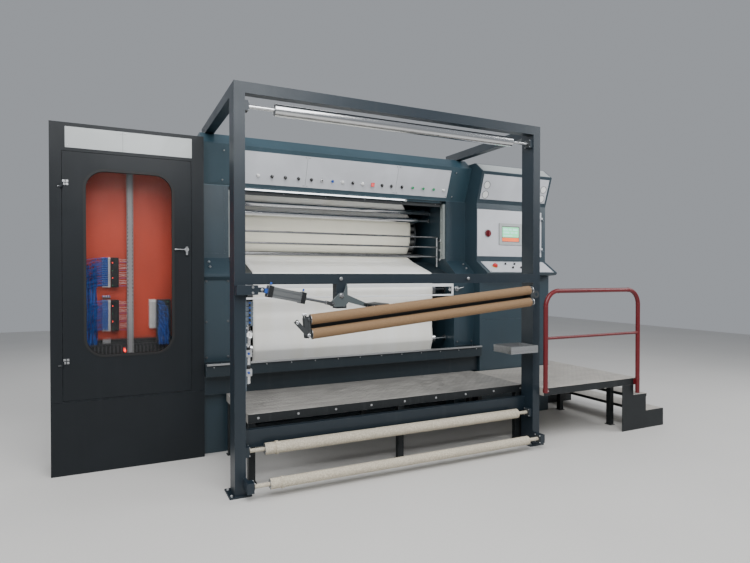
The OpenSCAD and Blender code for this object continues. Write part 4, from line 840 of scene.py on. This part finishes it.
def deskTrim():
    out, length, stopX = way(deskAxes), housingSet["deskLength"], housingSet["stopX"]
    b = Build("desk_caps", "blackPlastic", "steel", "darkSteel")
    for dx, share in housingSet["knobs"]:
        x, up = housingSet["deskX"] + dx, share * length
        b.turned(spot(deskAxes, x, up, 9.2), out, [(0, 13.8), (1.4, 13.8), (2.2, 11.5), (16, 10.4), (17.8, 8.8),
            (17.8, 0)])
        b.slab((x - 1, up + 1, 27), (x + 1, up + 9, 27.5), 1, deskAxes)
    b.screws(product((1532, 1976, 2408), (20, 215), (4,)), 4.4, 2, deskAxes)
    b.done()
    b = Build("stop_ring", "yellowPlastic", slot="grey_panel")
    b.ring(spot(deskAxes, stopX, length / 2 + 4, 4.1), out, [(0, 31), (2.4, 31), (3.2, 29.5), (3.2, 16), (0, 16)],
        0, 36)
    b.done()
    b = Build("stop_cap", "redPlastic", body="emergency_stop", slot="red_plastic")
    b.turned(spot(deskAxes, stopX, length / 2 + 4, 31.9), out, [(0, 23.8), (2.4, 22.2), (4.4, 16), (5.2, 8),
        (5.3, 0)], 0, 32)
    b.done()


def housingDoorTrim():
    b = Build("switch_plate", "greyPlastic", body="housing_door", slot="switch_grey", soften=1)
    b.ring(spot(frontAxes, *housingSet["switch"], -1049.9), toFront, [(-1.2, 46), (0.1, 46), (0.15, 44),
        (0.15, 38.2), (-0.2, 38.2)], 0, 40)
    b.done()
    b = Build("screen_face", "screenGlow", "screenBand", "screenText", "screenEdge", "trimLight",
        body="housing_door", slot="black_plastic", soften=0.8)
    for x0, x1, z0, z1 in housingSet["rims"]:
        b.slab((x0, z0, -1042.4), (x1, z1, -1041), 4)
    x, z = housingSet["screen"]
    b.slab((x - 7.5, z - 54.5, -1046), (x + 241.5, z + 122.5, -1045.4), 3)
    b.slab((x, z, -1045.4), (x + 234, z + 115, -1044.9))
    b.slab((x, z - 47, -1045.4), (x + 234, z - 7, -1044.9), 1)
    for dx, dz, wide, tall in housingSet["fields"]:
        b.slab((x + dx, z + dz, -1044.9), (x + dx + wide, z + dz + tall, -1044.6), 2)
    b.done()


housingTrim()
deskTrim()
housingDoorTrim()
print("housing dressed")

# Side frames, beam and trough: light bars, bolts, handle, lips and seams
frameSet = {
    "barX": (1184, 1209), "barY": (1292, 1352), "barZ": (1782, 2400), "barBolts": (1830, 1960, 2090, 2220, 2350),
    "slopeTop": (1270, 1760), "slope": (195, 150), "bossX": 1400, "bossY": (1210, 1150), "bossTall": 9,
    "faceBoltX": (1440, 1250), "faceBoltZ": (1545, 1180, 860), "footX": (1320, 1440), "footY": (10, 150),
    "handle": (-1370, 800), "grip": ((-60, 1106), (-60, 1086), (-52, 1078), (52, 1078), (60, 1086), (60, 1106)),
}


def frameTrim():
    b = Build("frame_bars", "barGrey", "steel", slot="bright_steel", soften=0.6)
    (z0, z1), (y0, y1) = frameSet["barZ"], frameSet["barY"]
    for side in (-1, 1):
        x0, x1 = sorted(side * x for x in frameSet["barX"])
        b.slab((x0, z0, -y1), (x1, z1, -y0))
        b.bolts(((side * frameSet["barX"][0], (y0 + y1) / 2, z) for z in frameSet["barBolts"]), (-side, 0, 0), 11, 1)
    b.done()
    b = Build("frame_bolts", "steel", "darkSteel")
    (topY, topZ), (run, fall) = frameSet["slopeTop"], frameSet["slope"]
    axis = Vector((0, -fall, run)).normalized()
    for x, y in product(both(frameSet["bossX"]), frameSet["bossY"]):
        b.bolt(at(x, y, topZ - (topY - y) * fall / run) + axis * frameSet["bossTall"] / 1000, axis, 17)
    b.bolts(product(both(*frameSet["faceBoltX"]), (1105,), frameSet["faceBoltZ"]), toFront, 15, 1)
    b.bolts(product(both(*frameSet["footX"]), frameSet["footY"], (12,)), upward, 20)
    b.bolts(product(both(600), (-8,), (1570,)), toFront, 19)
    b.screws(product(both(1270), (60, 330), (8,)), 8, 0, beamAxes)
    b.done()
    b = Build("panel_handles", "steel")
    x, z = frameSet["handle"]
    b.tube([at(x + dx, y, z) for dx, y in frameSet["grip"]], 6)
    for dx in (-60, 60):
        b.turned(at(x + dx, 1105, z), toFront, [(0, 12), (3, 12), (4, 9)], 0, 18)
    b.done()
    b = Build("trough_lip", "steel", soften=0.4)
    b.slab((-1464, 824, -950), (1464, 825.2, -936.4))
    b.slab((-1464, 809, -936), (1464, 825.2, -934.8))
    b.screws(((-1400 + k * 233, 792, -950) for k in range(13)), 6)
    b.done()
    b = Build("apron_lip", "steel")
    b.tube([at(x, 1236.5, 1606.5) for x in both(1195)], 3.5, 0, 8)
    b.done()
    b = Build("beam_seams", "beamPaint", slot="dark_teal_paint", soften=0.8)
    b.slab((-1465, 2431.5, -1277), (1465, 2440, -1273.5))
    for x in (-1465, 1445):
        b.slab((x, 8, 0), (x + 20, 357, 3), 0, beamAxes)
    b.done()


frameTrim()
print("frames dressed")

# Bearings as (y, z) on the posts, and as (y, z, radius) on the side frames
bearingSet = {"postX": 1310, "posts": ((50, 2825), (50, 310), (-100, 100)), "boltReach": 30,
    "frameX": 1210, "frames": ((1650, 2240, 26), (1310, 1440, 42), (1297, 890, 34))}


def bearingCaps():
    b = Build("bearing_caps", "casting", "steel")
    for side, (y, z) in product((-1, 1), bearingSet["posts"]):
        b.ring(at(side * bearingSet["postX"], y, z), (-side, 0, 0), [(0, 33), (3, 33), (5, 30), (5, 16.2),
            (0, 16.2)], 0, 32)
        b.bolts(((side * bearingSet["postX"], y + dy, z + dz) for dy, dz in
            product(both(bearingSet["boltReach"]), repeat=2)), (-side, 0, 0), 8, 1)
    for (y, z, r), side in product(bearingSet["frames"], (-1, 1)):
        b.ring(at(side * bearingSet["frameX"], y, z), (-side, 0, 0), [(0, r), (7, r), (9, r - 3), (9, 16.4),
            (0, 16.4)], 0, 32)
        b.bolts(((side * (bearingSet["frameX"] - 7), y + r * 0.72 * c, z + r * 0.72 * s) for c, s in quarters(45)),
            (-side, 0, 0), 7, 1)
    b.done()


# Guider fittings in its own axes: bolts and rod ends on the end castings, knobs on the tension lever
guiderSet = {"ends": ((-2098, -1), (-98, 1)), "lever": -2098, "leverTurn": math.radians(53), "leverReach": 61}


def guiderTrim():
    b = Build("guider_fittings", "steel", body="guider")
    for (x, side), s in product(guiderSet["ends"], (-1, 1)):
        b.bolt(spot(guiderAxes, x, -308, s * 34), way(guiderAxes, side, 0, 0), 12)
    for s in (-1, 1):
        b.turned(spot(guiderAxes, -98, -350, s * 50), way(guiderAxes, 1, 0, 0), [(0, 30), (10, 30), (13, 27),
            (13, 12), (18, 11), (20, 6)], 0, 28)
    b.done()
    b = Build("lever_knobs", "chrome", body="guider")
    x, a, reach = guiderSet["lever"], guiderSet["leverTurn"], guiderSet["leverReach"]
    for dx in (-19, -4):
        b.turned(spot(guiderAxes, x + dx, -332, 80), way(guiderAxes), [(0, 8.5), (2, 9.5), (12, 9.5), (16, 7),
            (17, 3)], 0, 18)
    for s in (-1, 1):
        b.turned(spot(guiderAxes, x - 44 + s * reach * math.cos(a), -379, -6 - s * reach * math.sin(a)), toFront,
            [(0, 10.5), (1, 11.2), (4, 11.2), (5.5, 9), (5.5, 4), (3.5, 3.5), (3.5, 0)], 0, 20)
    b.done()


# Ends of the rollers: left and right x, y, z, radius, hole and axes
rollerSet = {
    "upper_guider_roller": (-2076, -120, -350, 50, 36.2, 8.6, guiderAxes),
    "lower_guider_roller": (-2076, -120, -350, -50, 36.2, 8.6, guiderAxes),
    "overhead_roller": (-1110, 1110, 50, 2825, 43, 15.6, drawnAxes),
    "front_guide_roller": (-1190, 1190, -100, 100, 36, 15.6, drawnAxes),
    "rear_guide_roller": (-1190, 1190, 50, 310, 41, 15.6, drawnAxes),
    "chrome_roller": (-1050, 1050, 1650, 2240, 29.5, 15.6, drawnAxes),
    "upper_delivery_roller": (-1040, 1040, 1310, 1440, 87, 15.6, drawnAxes),
    "lower_delivery_roller": (-1040, 1040, 1280, 890, 57, 15.6, drawnAxes),
}


def rollerCaps():
    for name, (x0, x1, y, z, r, hole, turn) in rollerSet.items():
        b = Build(f"{name}_ends", "steel", "darkSteel", body=name)
        reach = hole + (r - hole) * 0.55
        for x, side in ((x0, -1), (x1, 1)):
            axis = way(turn, side, 0, 0)
            b.ring(spot(turn, x, y, z), axis, [(-0.2, r), (1.6, r), (2.2, r - 1.5), (2.2, hole + 1),
                (-0.2, hole + 1)], 0, 36)
            for c, s in quarters(20):
                b.turned(spot(turn, x, y + reach * c, z + reach * s), axis, [(2.2, 4.2), (3.8, 4.2), (4.8, 3)], 1, 6)
        b.done()


# Cylinder in its own axes: for each cap its ends, its outer face and its side; crank and tail as drawn
cylinderSet = {"caps": ((43.7, 78.3, 43.7, -1), (295.7, 330.3, 330.3, 1)), "cap": 42.8, "core": 38, "boltReach": 31,
    "ports": (61, 313), "groove": (80, 294), "crankBolt": (-608, -37, 1440), "rodPin": (-373.1, 1354.5),
    "tailPin": (-1232, -54, 1492)}


def cylinderTrim():
    b = Build("barrel_caps", "blackPlastic", "steel", "bluePlastic", "darkSteel", body="cylinder_barrel", soften=1.2)
    core, cap, reach = cylinderSet["core"], cylinderSet["cap"], cylinderSet["boltReach"]
    for x0, x1, x, side in cylinderSet["caps"]:
        for lo, hi in (((x0, core, -cap), (x1, cap, cap)), ((x0, -cap, -cap), (x1, -core, cap)),
                ((x0, -core, core), (x1, core, cap)), ((x0, -core, -cap), (x1, core, -core))):
            b.slab(lo, hi, 0, barrelAxes)
        for v, w in product(both(reach), repeat=2):
            b.turned(spot(barrelAxes, x, v, w), way(barrelAxes, side, 0, 0), [(-2, 6.6), (2.2, 6.6), (3, 5.2),
                (3, 3), (0.8, 2.8), (0.8, 0)], 1, 12)
    out = way(barrelAxes, 0, 1, 0)
    for x in cylinderSet["ports"]:
        b.turned(spot(barrelAxes, x, 42.6, 0), out, [(0, 8.5), (9, 8.5)], 1, 6)
        b.turned(spot(barrelAxes, x, 51.6, 0), out, [(0, 7.5), (14, 7.5), (14.2, 6.4), (18, 6.4), (18, 3.4),
            (12, 3.2), (12, 0)], 2, 18)
    x0, x1 = cylinderSet["groove"]
    for v in (-19, 19):
        b.slab((x0, v - 3.2, 39), (x1, v + 3.2, 39.35), 3, barrelAxes)
    for lo, hi in (((20, -17, 11), (43, 17, 13)), ((20, -17, -13), (43, 17, -11)), ((20, 16, -13), (43, 18, 13)),
            ((20, -18, -13), (43, -16, 13))):
        b.slab(lo, hi, 2, barrelAxes)
    b.done()
    b = Build("rod_nut", "steel", "darkSteel", body="cylinder_rod")
    b.ring(spot(barrelAxes, 503, 0, 0), way(barrelAxes, 1, 0, 0), [(0, 16.5), (9, 16.5), (10, 15.2), (10, 10.1),
        (0, 10.1)], 0, 6)
    b.turned(spot(barrelAxes, 559.5, 0, 20.2), toFront, [(0, 10.5), (1.6, 10.5), (1.8, 7.4), (4.6, 7), (5.4, 5)],
        1, 18)
    b.done()
    b = Build("crank_bolts", "steel", body="bell_crank")
    x, z = cylinderSet["rodPin"]
    b.bolt(at(*cylinderSet["crankBolt"]), toFront, 26)
    b.bolt(at(x, -96, z), toFront, 13)
    b.ring(at(x, -42, z), toFront, [(0, 19.5), (4, 19.5), (5, 18), (5, 14.9), (0, 14.9)], 0, 28)
    b.done()
    b = Build("tail_pin", "steel")
    b.turned(at(*cylinderSet["tailPin"]), toFront, [(0, 10.5), (2, 10.5), (3, 9), (5, 6)], 0, 20)
    b.bolts(product((-1300,), (-60,), (1472, 1512)), toFront, 12)
    b.done()


# Valves on the left post: bowls with their knobs, gauge, valve blocks and hose pieces
valveSet = {"x": -1340, "bowls": (800, 940, 1080), "gauge": 1165, "blocks": [1246 + i * 36 for i in range(5)],
    "hoses": ((1005, 190, 128), (862, 120, 128), (1075, 160, 30))}


def valveTrim():
    b = Build("valve_fittings", "brightSteel", "blackPlastic", "bluePlastic", "whitePlastic", "aluminium",
        slot="valve_blue", soften=0.4)
    x, gauge = valveSet["x"], valveSet["gauge"]
    for z in valveSet["bowls"]:
        b.turned(at(x + 33, 75, z - 0.5), upward, [(0, 12), (3, 19.8), (8, 20.8), (58, 20.8), (58.5, 22.5),
            (60.5, 22.5)], 0, 28)
        b.turned(at(x + 33, 75, z + 110), upward, [(0, 17.8), (3, 18.2), (22, 18.2), (25.5, 16.5), (25.8, 0)], 1, 12)
        b.slab((x + 7.5, z + 59.4, -100.6), (x + 58.6, z + 110.6, -49.4), 4)
        b.turned(at(x + 33, 49.4, z + 85), toFront, [(0, 9), (6, 9), (6.2, 7.2), (15, 7.2), (15, 4), (10, 4),
            (10, 0)], 2, 18)
        b.turned(at(x + 33, 75, z - 0.5), (0, 0, -1), [(0, 6), (10, 6), (12, 4)], 1, 12)
    b.turned(at(x + 33, 19.5, gauge), toFront, [(0, 24), (3, 24), (4.2, 22.5), (3, 20.5), (3, 0)], 0, 32)
    b.turned(at(x + 33, 16.4, gauge), toFront, [(0, 19.8), (0.3, 19.8)], 3, 32)
    b.slab((x + 31.9, gauge - 6, -15.9), (x + 34.1, gauge + 16, -15.6), 1)
    for z in valveSet["blocks"]:
        b.slab((x + 62, z - 13, -120), (x + 65, z + 13, -40), 4)
        for dz, mat in ((-8, 1), (8, 2)):
            b.turned(at(x + 35, 26, z + dz), toFront, [(0, 6.8), (4, 6.8), (4.2, 5.8), (13, 5.8), (13, 3.2),
                (9, 3.2), (9, 0)], mat, 16)
        b.turned(at(x + 65, 58, z), (1, 0, 0), [(0, 3), (1.6, 3), (2, 2)], 3, 10)
    for z, tall, y in valveSet["hoses"]:
        b.turned(at(x + 22, y, z), upward, [(0, 8.5), (4, 10.5), (12, 10.5), (13, 7.5), (tall - 13, 7.5),
            (tall - 12, 10.5), (tall, 10.5), (tall + 4, 6)], 0, 20)
        for middle in (z + tall * 0.12, z + tall * 0.88):
            b.slab((x + 7, middle - 7, -y - 13), (x + 20, middle + 7, -y + 13), 4)
    b.done()


# Pivots of the safety frame at y and z, with its stops below them
safetySet = {"pivot": (1130, 1441), "stop": (1190, 1380), "cornerX": 1161, "cornerZ": (1384, 1498)}


def safetyTrim():
    b = Build("safety_pivots", "chrome", "darkSteel")
    for side in (-1, 1):
        b.turned(at(side * 1158, *safetySet["pivot"]), (-side, 0, 0), [(0, 14), (3, 14), (5, 12), (9, 6.5), (10, 3)])
        b.ring(at(side * 1174, *safetySet["pivot"]), (side, 0, 0), [(0, 27), (8, 27), (10, 25), (10, 22.2),
            (0, 22.2)], 0, 30)
        b.turned(at(side * 1210, *safetySet["stop"]), (-side, 0, 0), [(0, 20), (8, 20), (10, 16), (40, 12),
            (42, 8)], 1, 20)
    b.done()
    b = Build("safety_corners", "steel", body="safety_frame", slot="safety_alu")
    b.screws(product(both(safetySet["cornerX"]), safetySet["cornerZ"], (-1060,)), 4.4)
    b.screws(product(both(1163), (safetySet["pivot"][1],), (-1060,)), 3.6)
    b.done()


# Guard bars, the latch at their right, the lamp under the beam, and a dark strip of painted shade below the lamp
guardSet = {"y": 1400, "collars": (1996, 1883, 1773), "latch": (1240, 1105, 1450), "linkX": 1170,
    "linkZ": (2030, 1900, 1760, 1692), "topBar": (1640, 2335), "paintedShadeX": 1180}


def guardTrim():
    b = Build("guard_collars", "chrome")
    for z, side in product(guardSet["collars"], (-1, 1)):
        b.turned(at(side * 1210, guardSet["y"], z), (-side, 0, 0), [(0, 19), (6, 19), (8, 16), (16, 13.5),
            (18, 10.5)])
    b.done()
    b = Build("top_bar_sleeve", "chrome", soften=0.8)
    b.turned(at(-1205, *guardSet["topBar"]), (1, 0, 0), [(0, 32.8), (1, 33.4), (2409, 33.4), (2410, 32.8)], 0, 48)
    b.done(faceOutward=False)
    b = Build("guard_links", "steel")
    for x in both(guardSet["linkX"]):
        b.tube([at(x, guardSet["y"], z) for z in guardSet["linkZ"]], 10.3, 0, 16)
    b.done()
    b = Build("frame_latch", "steel", "chrome", "darkSteel")
    x, y, z = guardSet["latch"]
    b.turned(at(x, y, z), toFront, [(0, 30), (9, 30), (11, 28), (11, 17), (30, 16), (33, 13), (33, 9), (46, 9),
        (48, 7)], 0, 30)
    b.bolts(((x + 23 * c, y - 10, z + 23 * s) for c, s in quarters(45)), toFront, 4.8, 2)
    b.tube([at(x + dx, y - dy, z + dz) for dx, dy, dz in ((4, 38, 0), (30, 44, 10), (58, 50, 18))], 7.5, 1, 12)
    b.done()


def lampTrim():
    b = Build("lamp_tube", "whiteGlow", "trimLight", slot="lamp_white", soften=1)
    b.slab((-1146, 2413, -1301), (690, 2425, -1294.5))
    b.slab((690, 2404, -1320), (716, 2430, -1292), 1)
    b.done()
    # A dark strip of painted shade: it stands where the inside of the machine lies in shade above the cloth
    b = Build("painted_shade_strip", "trimGrey", "steel", slot="cast_dark", soften=1)
    reach = guardSet["paintedShadeX"]
    b.slab((-reach, 2370, -1326), (reach, 2410, -1324.4))
    b.slab((-reach, 2370, -1326), (reach, 2371.6, -1316))
    b.screws(((x, 2396, -1324.4) for x in range(-1100, 1101, 440)), 4.4, 1)
    b.done()
    b = Build("lamp_ends", "blackPlastic", "steel", soften=0.8)
    for side in (-1, 1):
        x0, x1 = sorted((side * 1150.2, side * 1159))
        b.slab((x0, 2408, -1342), (x1, 2430.8, -1294))
        b.slab((min(x0, x1 - 20), 2429, -1336), (max(x1, x0 + 20), 2431, -1300), 1)
    b.done()


# Collars where the handrail's tubes meet and stand, and its bolts
railSet = {"y": -80, "posts": ((1420, 1), (2660, -1)), "collarZ": (530, 1299), "middleZ": 1010,
    "bolts": ((1452, 517), (2646, 492), (2646, 518)), "topX": (1570, 2510), "topZ": 1450}


def handrailWelds():
    b = Build("rail_collars", "railPaint", "steel", slot="rail_red")
    y = railSet["y"]
    for x, side in railSet["posts"]:
        for z in railSet["collarZ"]:
            b.ring(at(x, y, z), upward, [(0, 22.4), (2, 23.6), (5, 23.6), (7, 22.4), (7, 20.9), (0, 20.9)], 0, 26)
        b.ring(at(x + side * 20, y, railSet["middleZ"]), (side, 0, 0), [(-2, 15.2), (3, 15.2), (7, 13.7), (7, 13.2),
            (-2, 13.2)], 0, 22)
    b.bolts(((x, y, z) for x, z in railSet["bolts"]), toFront, 9, 1)
    for x in railSet["topX"]:
        b.ring(at(x, y, railSet["topZ"]), (1, 0, 0), [(-3, 22.2), (-1, 23.2), (1, 23.2), (3, 22.2), (3, 20.9),
            (-3, 20.9)], 0, 26)
    b.done()


# Raised tears of the tread plate, in alternating directions, on areas of (x0, x1, y0, y1, z)
treadSet = {
    "pitch": 31.0, "long": 11.5, "wide": 2.9, "tall": 1.3, "sunk": -0.2, "rim": 14,
    "deck": [(-1280, 1380, 200, 1030, 540)],
    "side": [(1430, 2690, -50, 968, 540), (2490, 2690, 972, 1250, 540), (2640, 2850, -36, 1236, 361.2),
        (2832, 3100, -36, 1236, 181.2)],
}


def tread(name, areas, finish, slot):
    b = Build(name, finish, slot=slot, angle=20)
    pitch, long, wide, tall, sunk, rim = (treadSet[key] for key in ("pitch", "long", "wide", "tall", "sunk", "rim"))
    tear = [(-long, 0, sunk), (-long * 0.5, -wide, sunk), (long * 0.5, -wide, sunk), (long, 0, sunk),
        (long * 0.5, wide, sunk), (-long * 0.5, wide, sunk), (-long * 0.55, 0, tall), (long * 0.55, 0, tall)]
    for x0, x1, y0, y1, z in areas:
        countX, countY = (int((size - rim) / pitch) for size in (x1 - x0, y1 - y0))
        for i, j in product(range(countX), range(countY)):
            x = (x0 + x1) / 2 + pitch * (i + 0.5 - countX / 2)
            y = (y0 + y1) / 2 + pitch * (j + 0.5 - countY / 2)
            a = math.radians(45 if (i + j) % 2 else -45)
            c, s = math.cos(a), math.sin(a)
            v = [b.mesh.verts.new(at(x + c * p - s * q, y + s * p + c * q, z + h)) for p, q, h in tear]
            for face in ((0, 1, 6), (1, 2, 7, 6), (2, 3, 7), (3, 4, 7), (4, 5, 6, 7), (5, 0, 6)):
                b.mesh.faces.new([v[k] for k in face])
    b.done(faceOutward=False)


deckSet = {"legs": [(x, y, 534) for x in (-1272, 25, 1312) for y in (208, 972)]
    + [(x, y, 470) for x in (1390, 2580) for y in (190, 910)], "steps": ((2640, 2850, 360), (2830, 3100, 180))}


def deckTrim():
    tread("deck_tears", treadSet["deck"], "deckTear", "deck_plate")
    tread("side_tears", treadSet["side"], "sideTear", "side_deck_plate")
    b = Build("deck_fascia", "stairPaint", "steel", slot="stair_dark", soften=0.8)
    b.slab((1426, 471, 50), (2689, 537, 51.2))
    b.slab((-1279, 471, -200), (1379, 537, -198.8))
    b.bolts(((x, 198.8, 505) for x in range(-1200, 1380, 320)), toFront, 13, 1)
    for x, y, top in deckSet["legs"]:
        b.slab((x - 0.8, 0.5, -y - 50.8), (x + 50.8, top, -y + 0.8))
        b.slab((x - 12, 0, -y - 62), (x + 62, 5, -y + 12))
    b.done()
    b = Build("stair_treads", "sideTread", soften=0.8)
    for x0, x1, z in deckSet["steps"]:
        b.slab((x0 + 1, z - 31, -1241), (x1 - 1, z + 1.2, 41))
    b.done()


# Latches of the three rear hatches and the bolts beside them
rearSet = {"y": 2900, "pitch": 2 * 1210 / 3 - 20, "latchInset": 60, "latchZ": (345, 1255), "boltX": 1350,
    "boltZ": (300, 900, 1500, 2100)}


def rearTrim():
    b = Build("rear_latches", "blackPlastic", "steel")
    pitch, y = rearSet["pitch"], rearSet["y"]
    for i, side, z in product((-1, 0, 1), (-1, 1), rearSet["latchZ"]):
        b.turned(at(i * pitch + side * (pitch / 2 - rearSet["latchInset"]), y, z), toRear, [(0, 16), (3, 16),
            (4.2, 14.5), (4.2, 6), (6, 6), (6, 0)])
    b.bolts(product(both(rearSet["boltX"]), (y,), rearSet["boltZ"]), toRear, 15, 1)
    b.done()


bearingCaps()
guiderTrim()
rollerCaps()
cylinderTrim()
valveTrim()
safetyTrim()
guardTrim()
lampTrim()
handrailWelds()
deckTrim()
rearTrim()
print("gantry, guider and deck dressed")

# Cloth band, in metres; its path in millimetres as (y, z), with the centre and radius of what it runs over
clothCut = {"width": 2.0, "columns": 72, "step": 0.018, "thickness": 0.0016, "slack": 0.0030, "drawIn": 0.008,
    "lead": 0.20, "leadLength": 0.42}
clothPath = {
    "start": (1568, 2425), "topBar": ((1640, 2335), 33), "chromeRoller": ((1650, 2240), 31),
    "drum": ((2050, 2070), 330), "drumAngles": (176, 180, 195, 210, 222), "turnBar": 20,
    "apron": ((1654, 1752), (1238, 1622)), "upperRoller": ((1310, 1440), 90), "lowerRoller": (890, 60),
    "skin": 2.8, "tail": 280, "tailAngle": 20,
    "bends": ((1, 1340), (13, 1240), (1, 1190), (14, 1060), (0, 920)),
}


def onCircle(centre, radius, degrees):
    a = math.radians(degrees)
    return centre[0] + radius * math.cos(a), centre[1] + radius * math.sin(a)


def arcPoints(centre, radius, start, end, count):
    return [onCircle(centre, radius, start + (end - start) * i / count) for i in range(count + 1)]


# From the beam over the top bar, down the drum, round the bar below it, down the apron and the loose fall
def clothLine():
    p, skin = clothPath, clothPath["skin"]
    (topBar, topR), (chrome, chromeR), (drum, drumR) = p["topBar"], p["chromeRoller"], p["drum"]
    (upper, upperR), (lowZ, lowR), barR = p["upperRoller"], p["lowerRoller"], p["turnBar"] + skin
    angles, tail = p["drumAngles"], p["tailAngle"]
    bar = onCircle(drum, drumR + p["turnBar"] + 2 * skin, angles[-1])
    offY, offZ = bar[0] - p["apron"][0][0], bar[1] - p["apron"][0][1]
    turnEnd = math.degrees(math.atan2(offZ, offY) - math.asin(barR / math.hypot(offY, offZ))) - 90
    sheetY = upper[0] - upperR - skin
    low = (sheetY + lowR + skin, lowZ)
    last = onCircle(low, lowR + skin, 180 + tail)
    away = onCircle((0, 0), p["tail"], tail - 90)
    # On the drum the cloth runs flat from one worker roller to the next, 1 mm over its skin
    return ([p["start"], *arcPoints(topBar, topR + skin, 135, -10, 18), *arcPoints(chrome, chromeR + skin, 20, 0, 3)]
        + [onCircle(drum, drumR + skin + 1, angle) for angle in angles]
        + arcPoints(bar, barR, angles[-1] - 186, turnEnd, 10) + [*p["apron"], (sheetY + 2, 1552)]
        + arcPoints(upper, upperR + skin, 165, 180, 3) + [(sheetY + out, z) for out, z in p["bends"]]
        + arcPoints(low, lowR + skin, 180, 180 + tail, 4) + [(last[0] + away[0], last[1] + away[1])])


def resample(line, step):
    out = [line[0]]
    for a, b in zip(line, line[1:]):
        count = max(1, round(math.dist(a, b) / (step * 1000)))
        out += [(a[0] + (b[0] - a[0]) * k / count, a[1] + (b[1] - a[1]) * k / count) for k in range(1, count + 1)]
    return out


def makeCloth():
    line = resample(clothLine(), clothCut["step"])
    lengths = [0.0]
    for a, b in zip(line, line[1:]):
        lengths.append(lengths[-1] + math.dist(a, b) / 1000)
    mesh = bmesh.new()
    rows = []
    columns, half, slack, drawIn, lead = (clothCut["columns"], clothCut["width"] * 500, clothCut["slack"] * 1000,
        clothCut["drawIn"] * 1000, clothCut["lead"] * 1000)
    for i, (p, s) in enumerate(zip(line, lengths)):
        before, after = line[max(i - 1, 0)], line[min(i + 1, len(line) - 1)]
        run = Vector((after[0] - before[0], after[1] - before[1])).normalized()
        out = Vector((run.y, -run.x))
        row = []
        for share in (2 * k / columns - 1 for k in range(columns + 1)):
            wave = (noise.noise(Vector((share * 5.5, s * 0.55, 3.1)))
                + 0.5 * noise.noise(Vector((share * 13, s * 0.9, 7.7))))
            lift = slack * max(0.0, wave + 0.15)
            edge = half - drawIn * (0.5 + 0.5 * noise.noise(Vector((s * 1.7, 9.0 * (share > 0), 0.3))))
            if share > 0:
                edge -= share * lead * max(0.0, 1 - s / clothCut["leadLength"]) ** 2
            row.append(mesh.verts.new(at(share * edge, p[0] + out.x * lift, p[1] + out.y * lift)))
        rows.append(row)
    for low, high in zip(rows, rows[1:]):
        for k in range(columns):
            mesh.faces.new((low[k], low[k + 1], high[k + 1], high[k]))
    data = bpy.data.meshes.new("cloth_band")
    mesh.to_mesh(data)
    mesh.free()
    data.materials.append(finishes["napCloth"])
    for face in data.polygons:
        face.use_smooth = True
    piece = linked("cloth_band", data)
    thick = piece.modifiers.new("thickness", "SOLIDIFY")
    thick.thickness = clothCut["thickness"]
    thick.offset = 0
    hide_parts("cloth_web")
    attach(piece, "machine")
    return lengths[-1]


print("cloth length", round(makeCloth(), 3), "m")

# Pale floor
floorSet = {"half": 13, "color": (0.62, 0.61, 0.59), "specks": (0.5, 0.49, 0.47)}


def makeFloor():
    f = Finish("paleFloor", rough=0.55)
    patches = f.noise(f.place, 0.7, 4.0)
    fine = f.noise(f.place, 60.0, 5.0)
    ground = f.mix(f.ramp(patches, 0.3, 0.7, 0.0, 0.35), floorSet["color"], shade(floorSet["color"], 0.9))
    f.set("Base Color", f.mix(f.ramp(fine, 0.4, 0.7, 0.0, 0.12), ground, floorSet["specks"]))
    f.bump(fine, 0.4, 0.3)
    data = bpy.data.meshes.new("studio_floor")
    half = floorSet["half"]
    data.from_pydata([(-half, -half, 0), (half, -half, 0), (half, half, 0), (-half, half, 0)], [], [(0, 1, 2, 3)])
    data.materials.append(f.material)
    linked("studio_floor", data)


makeFloor()
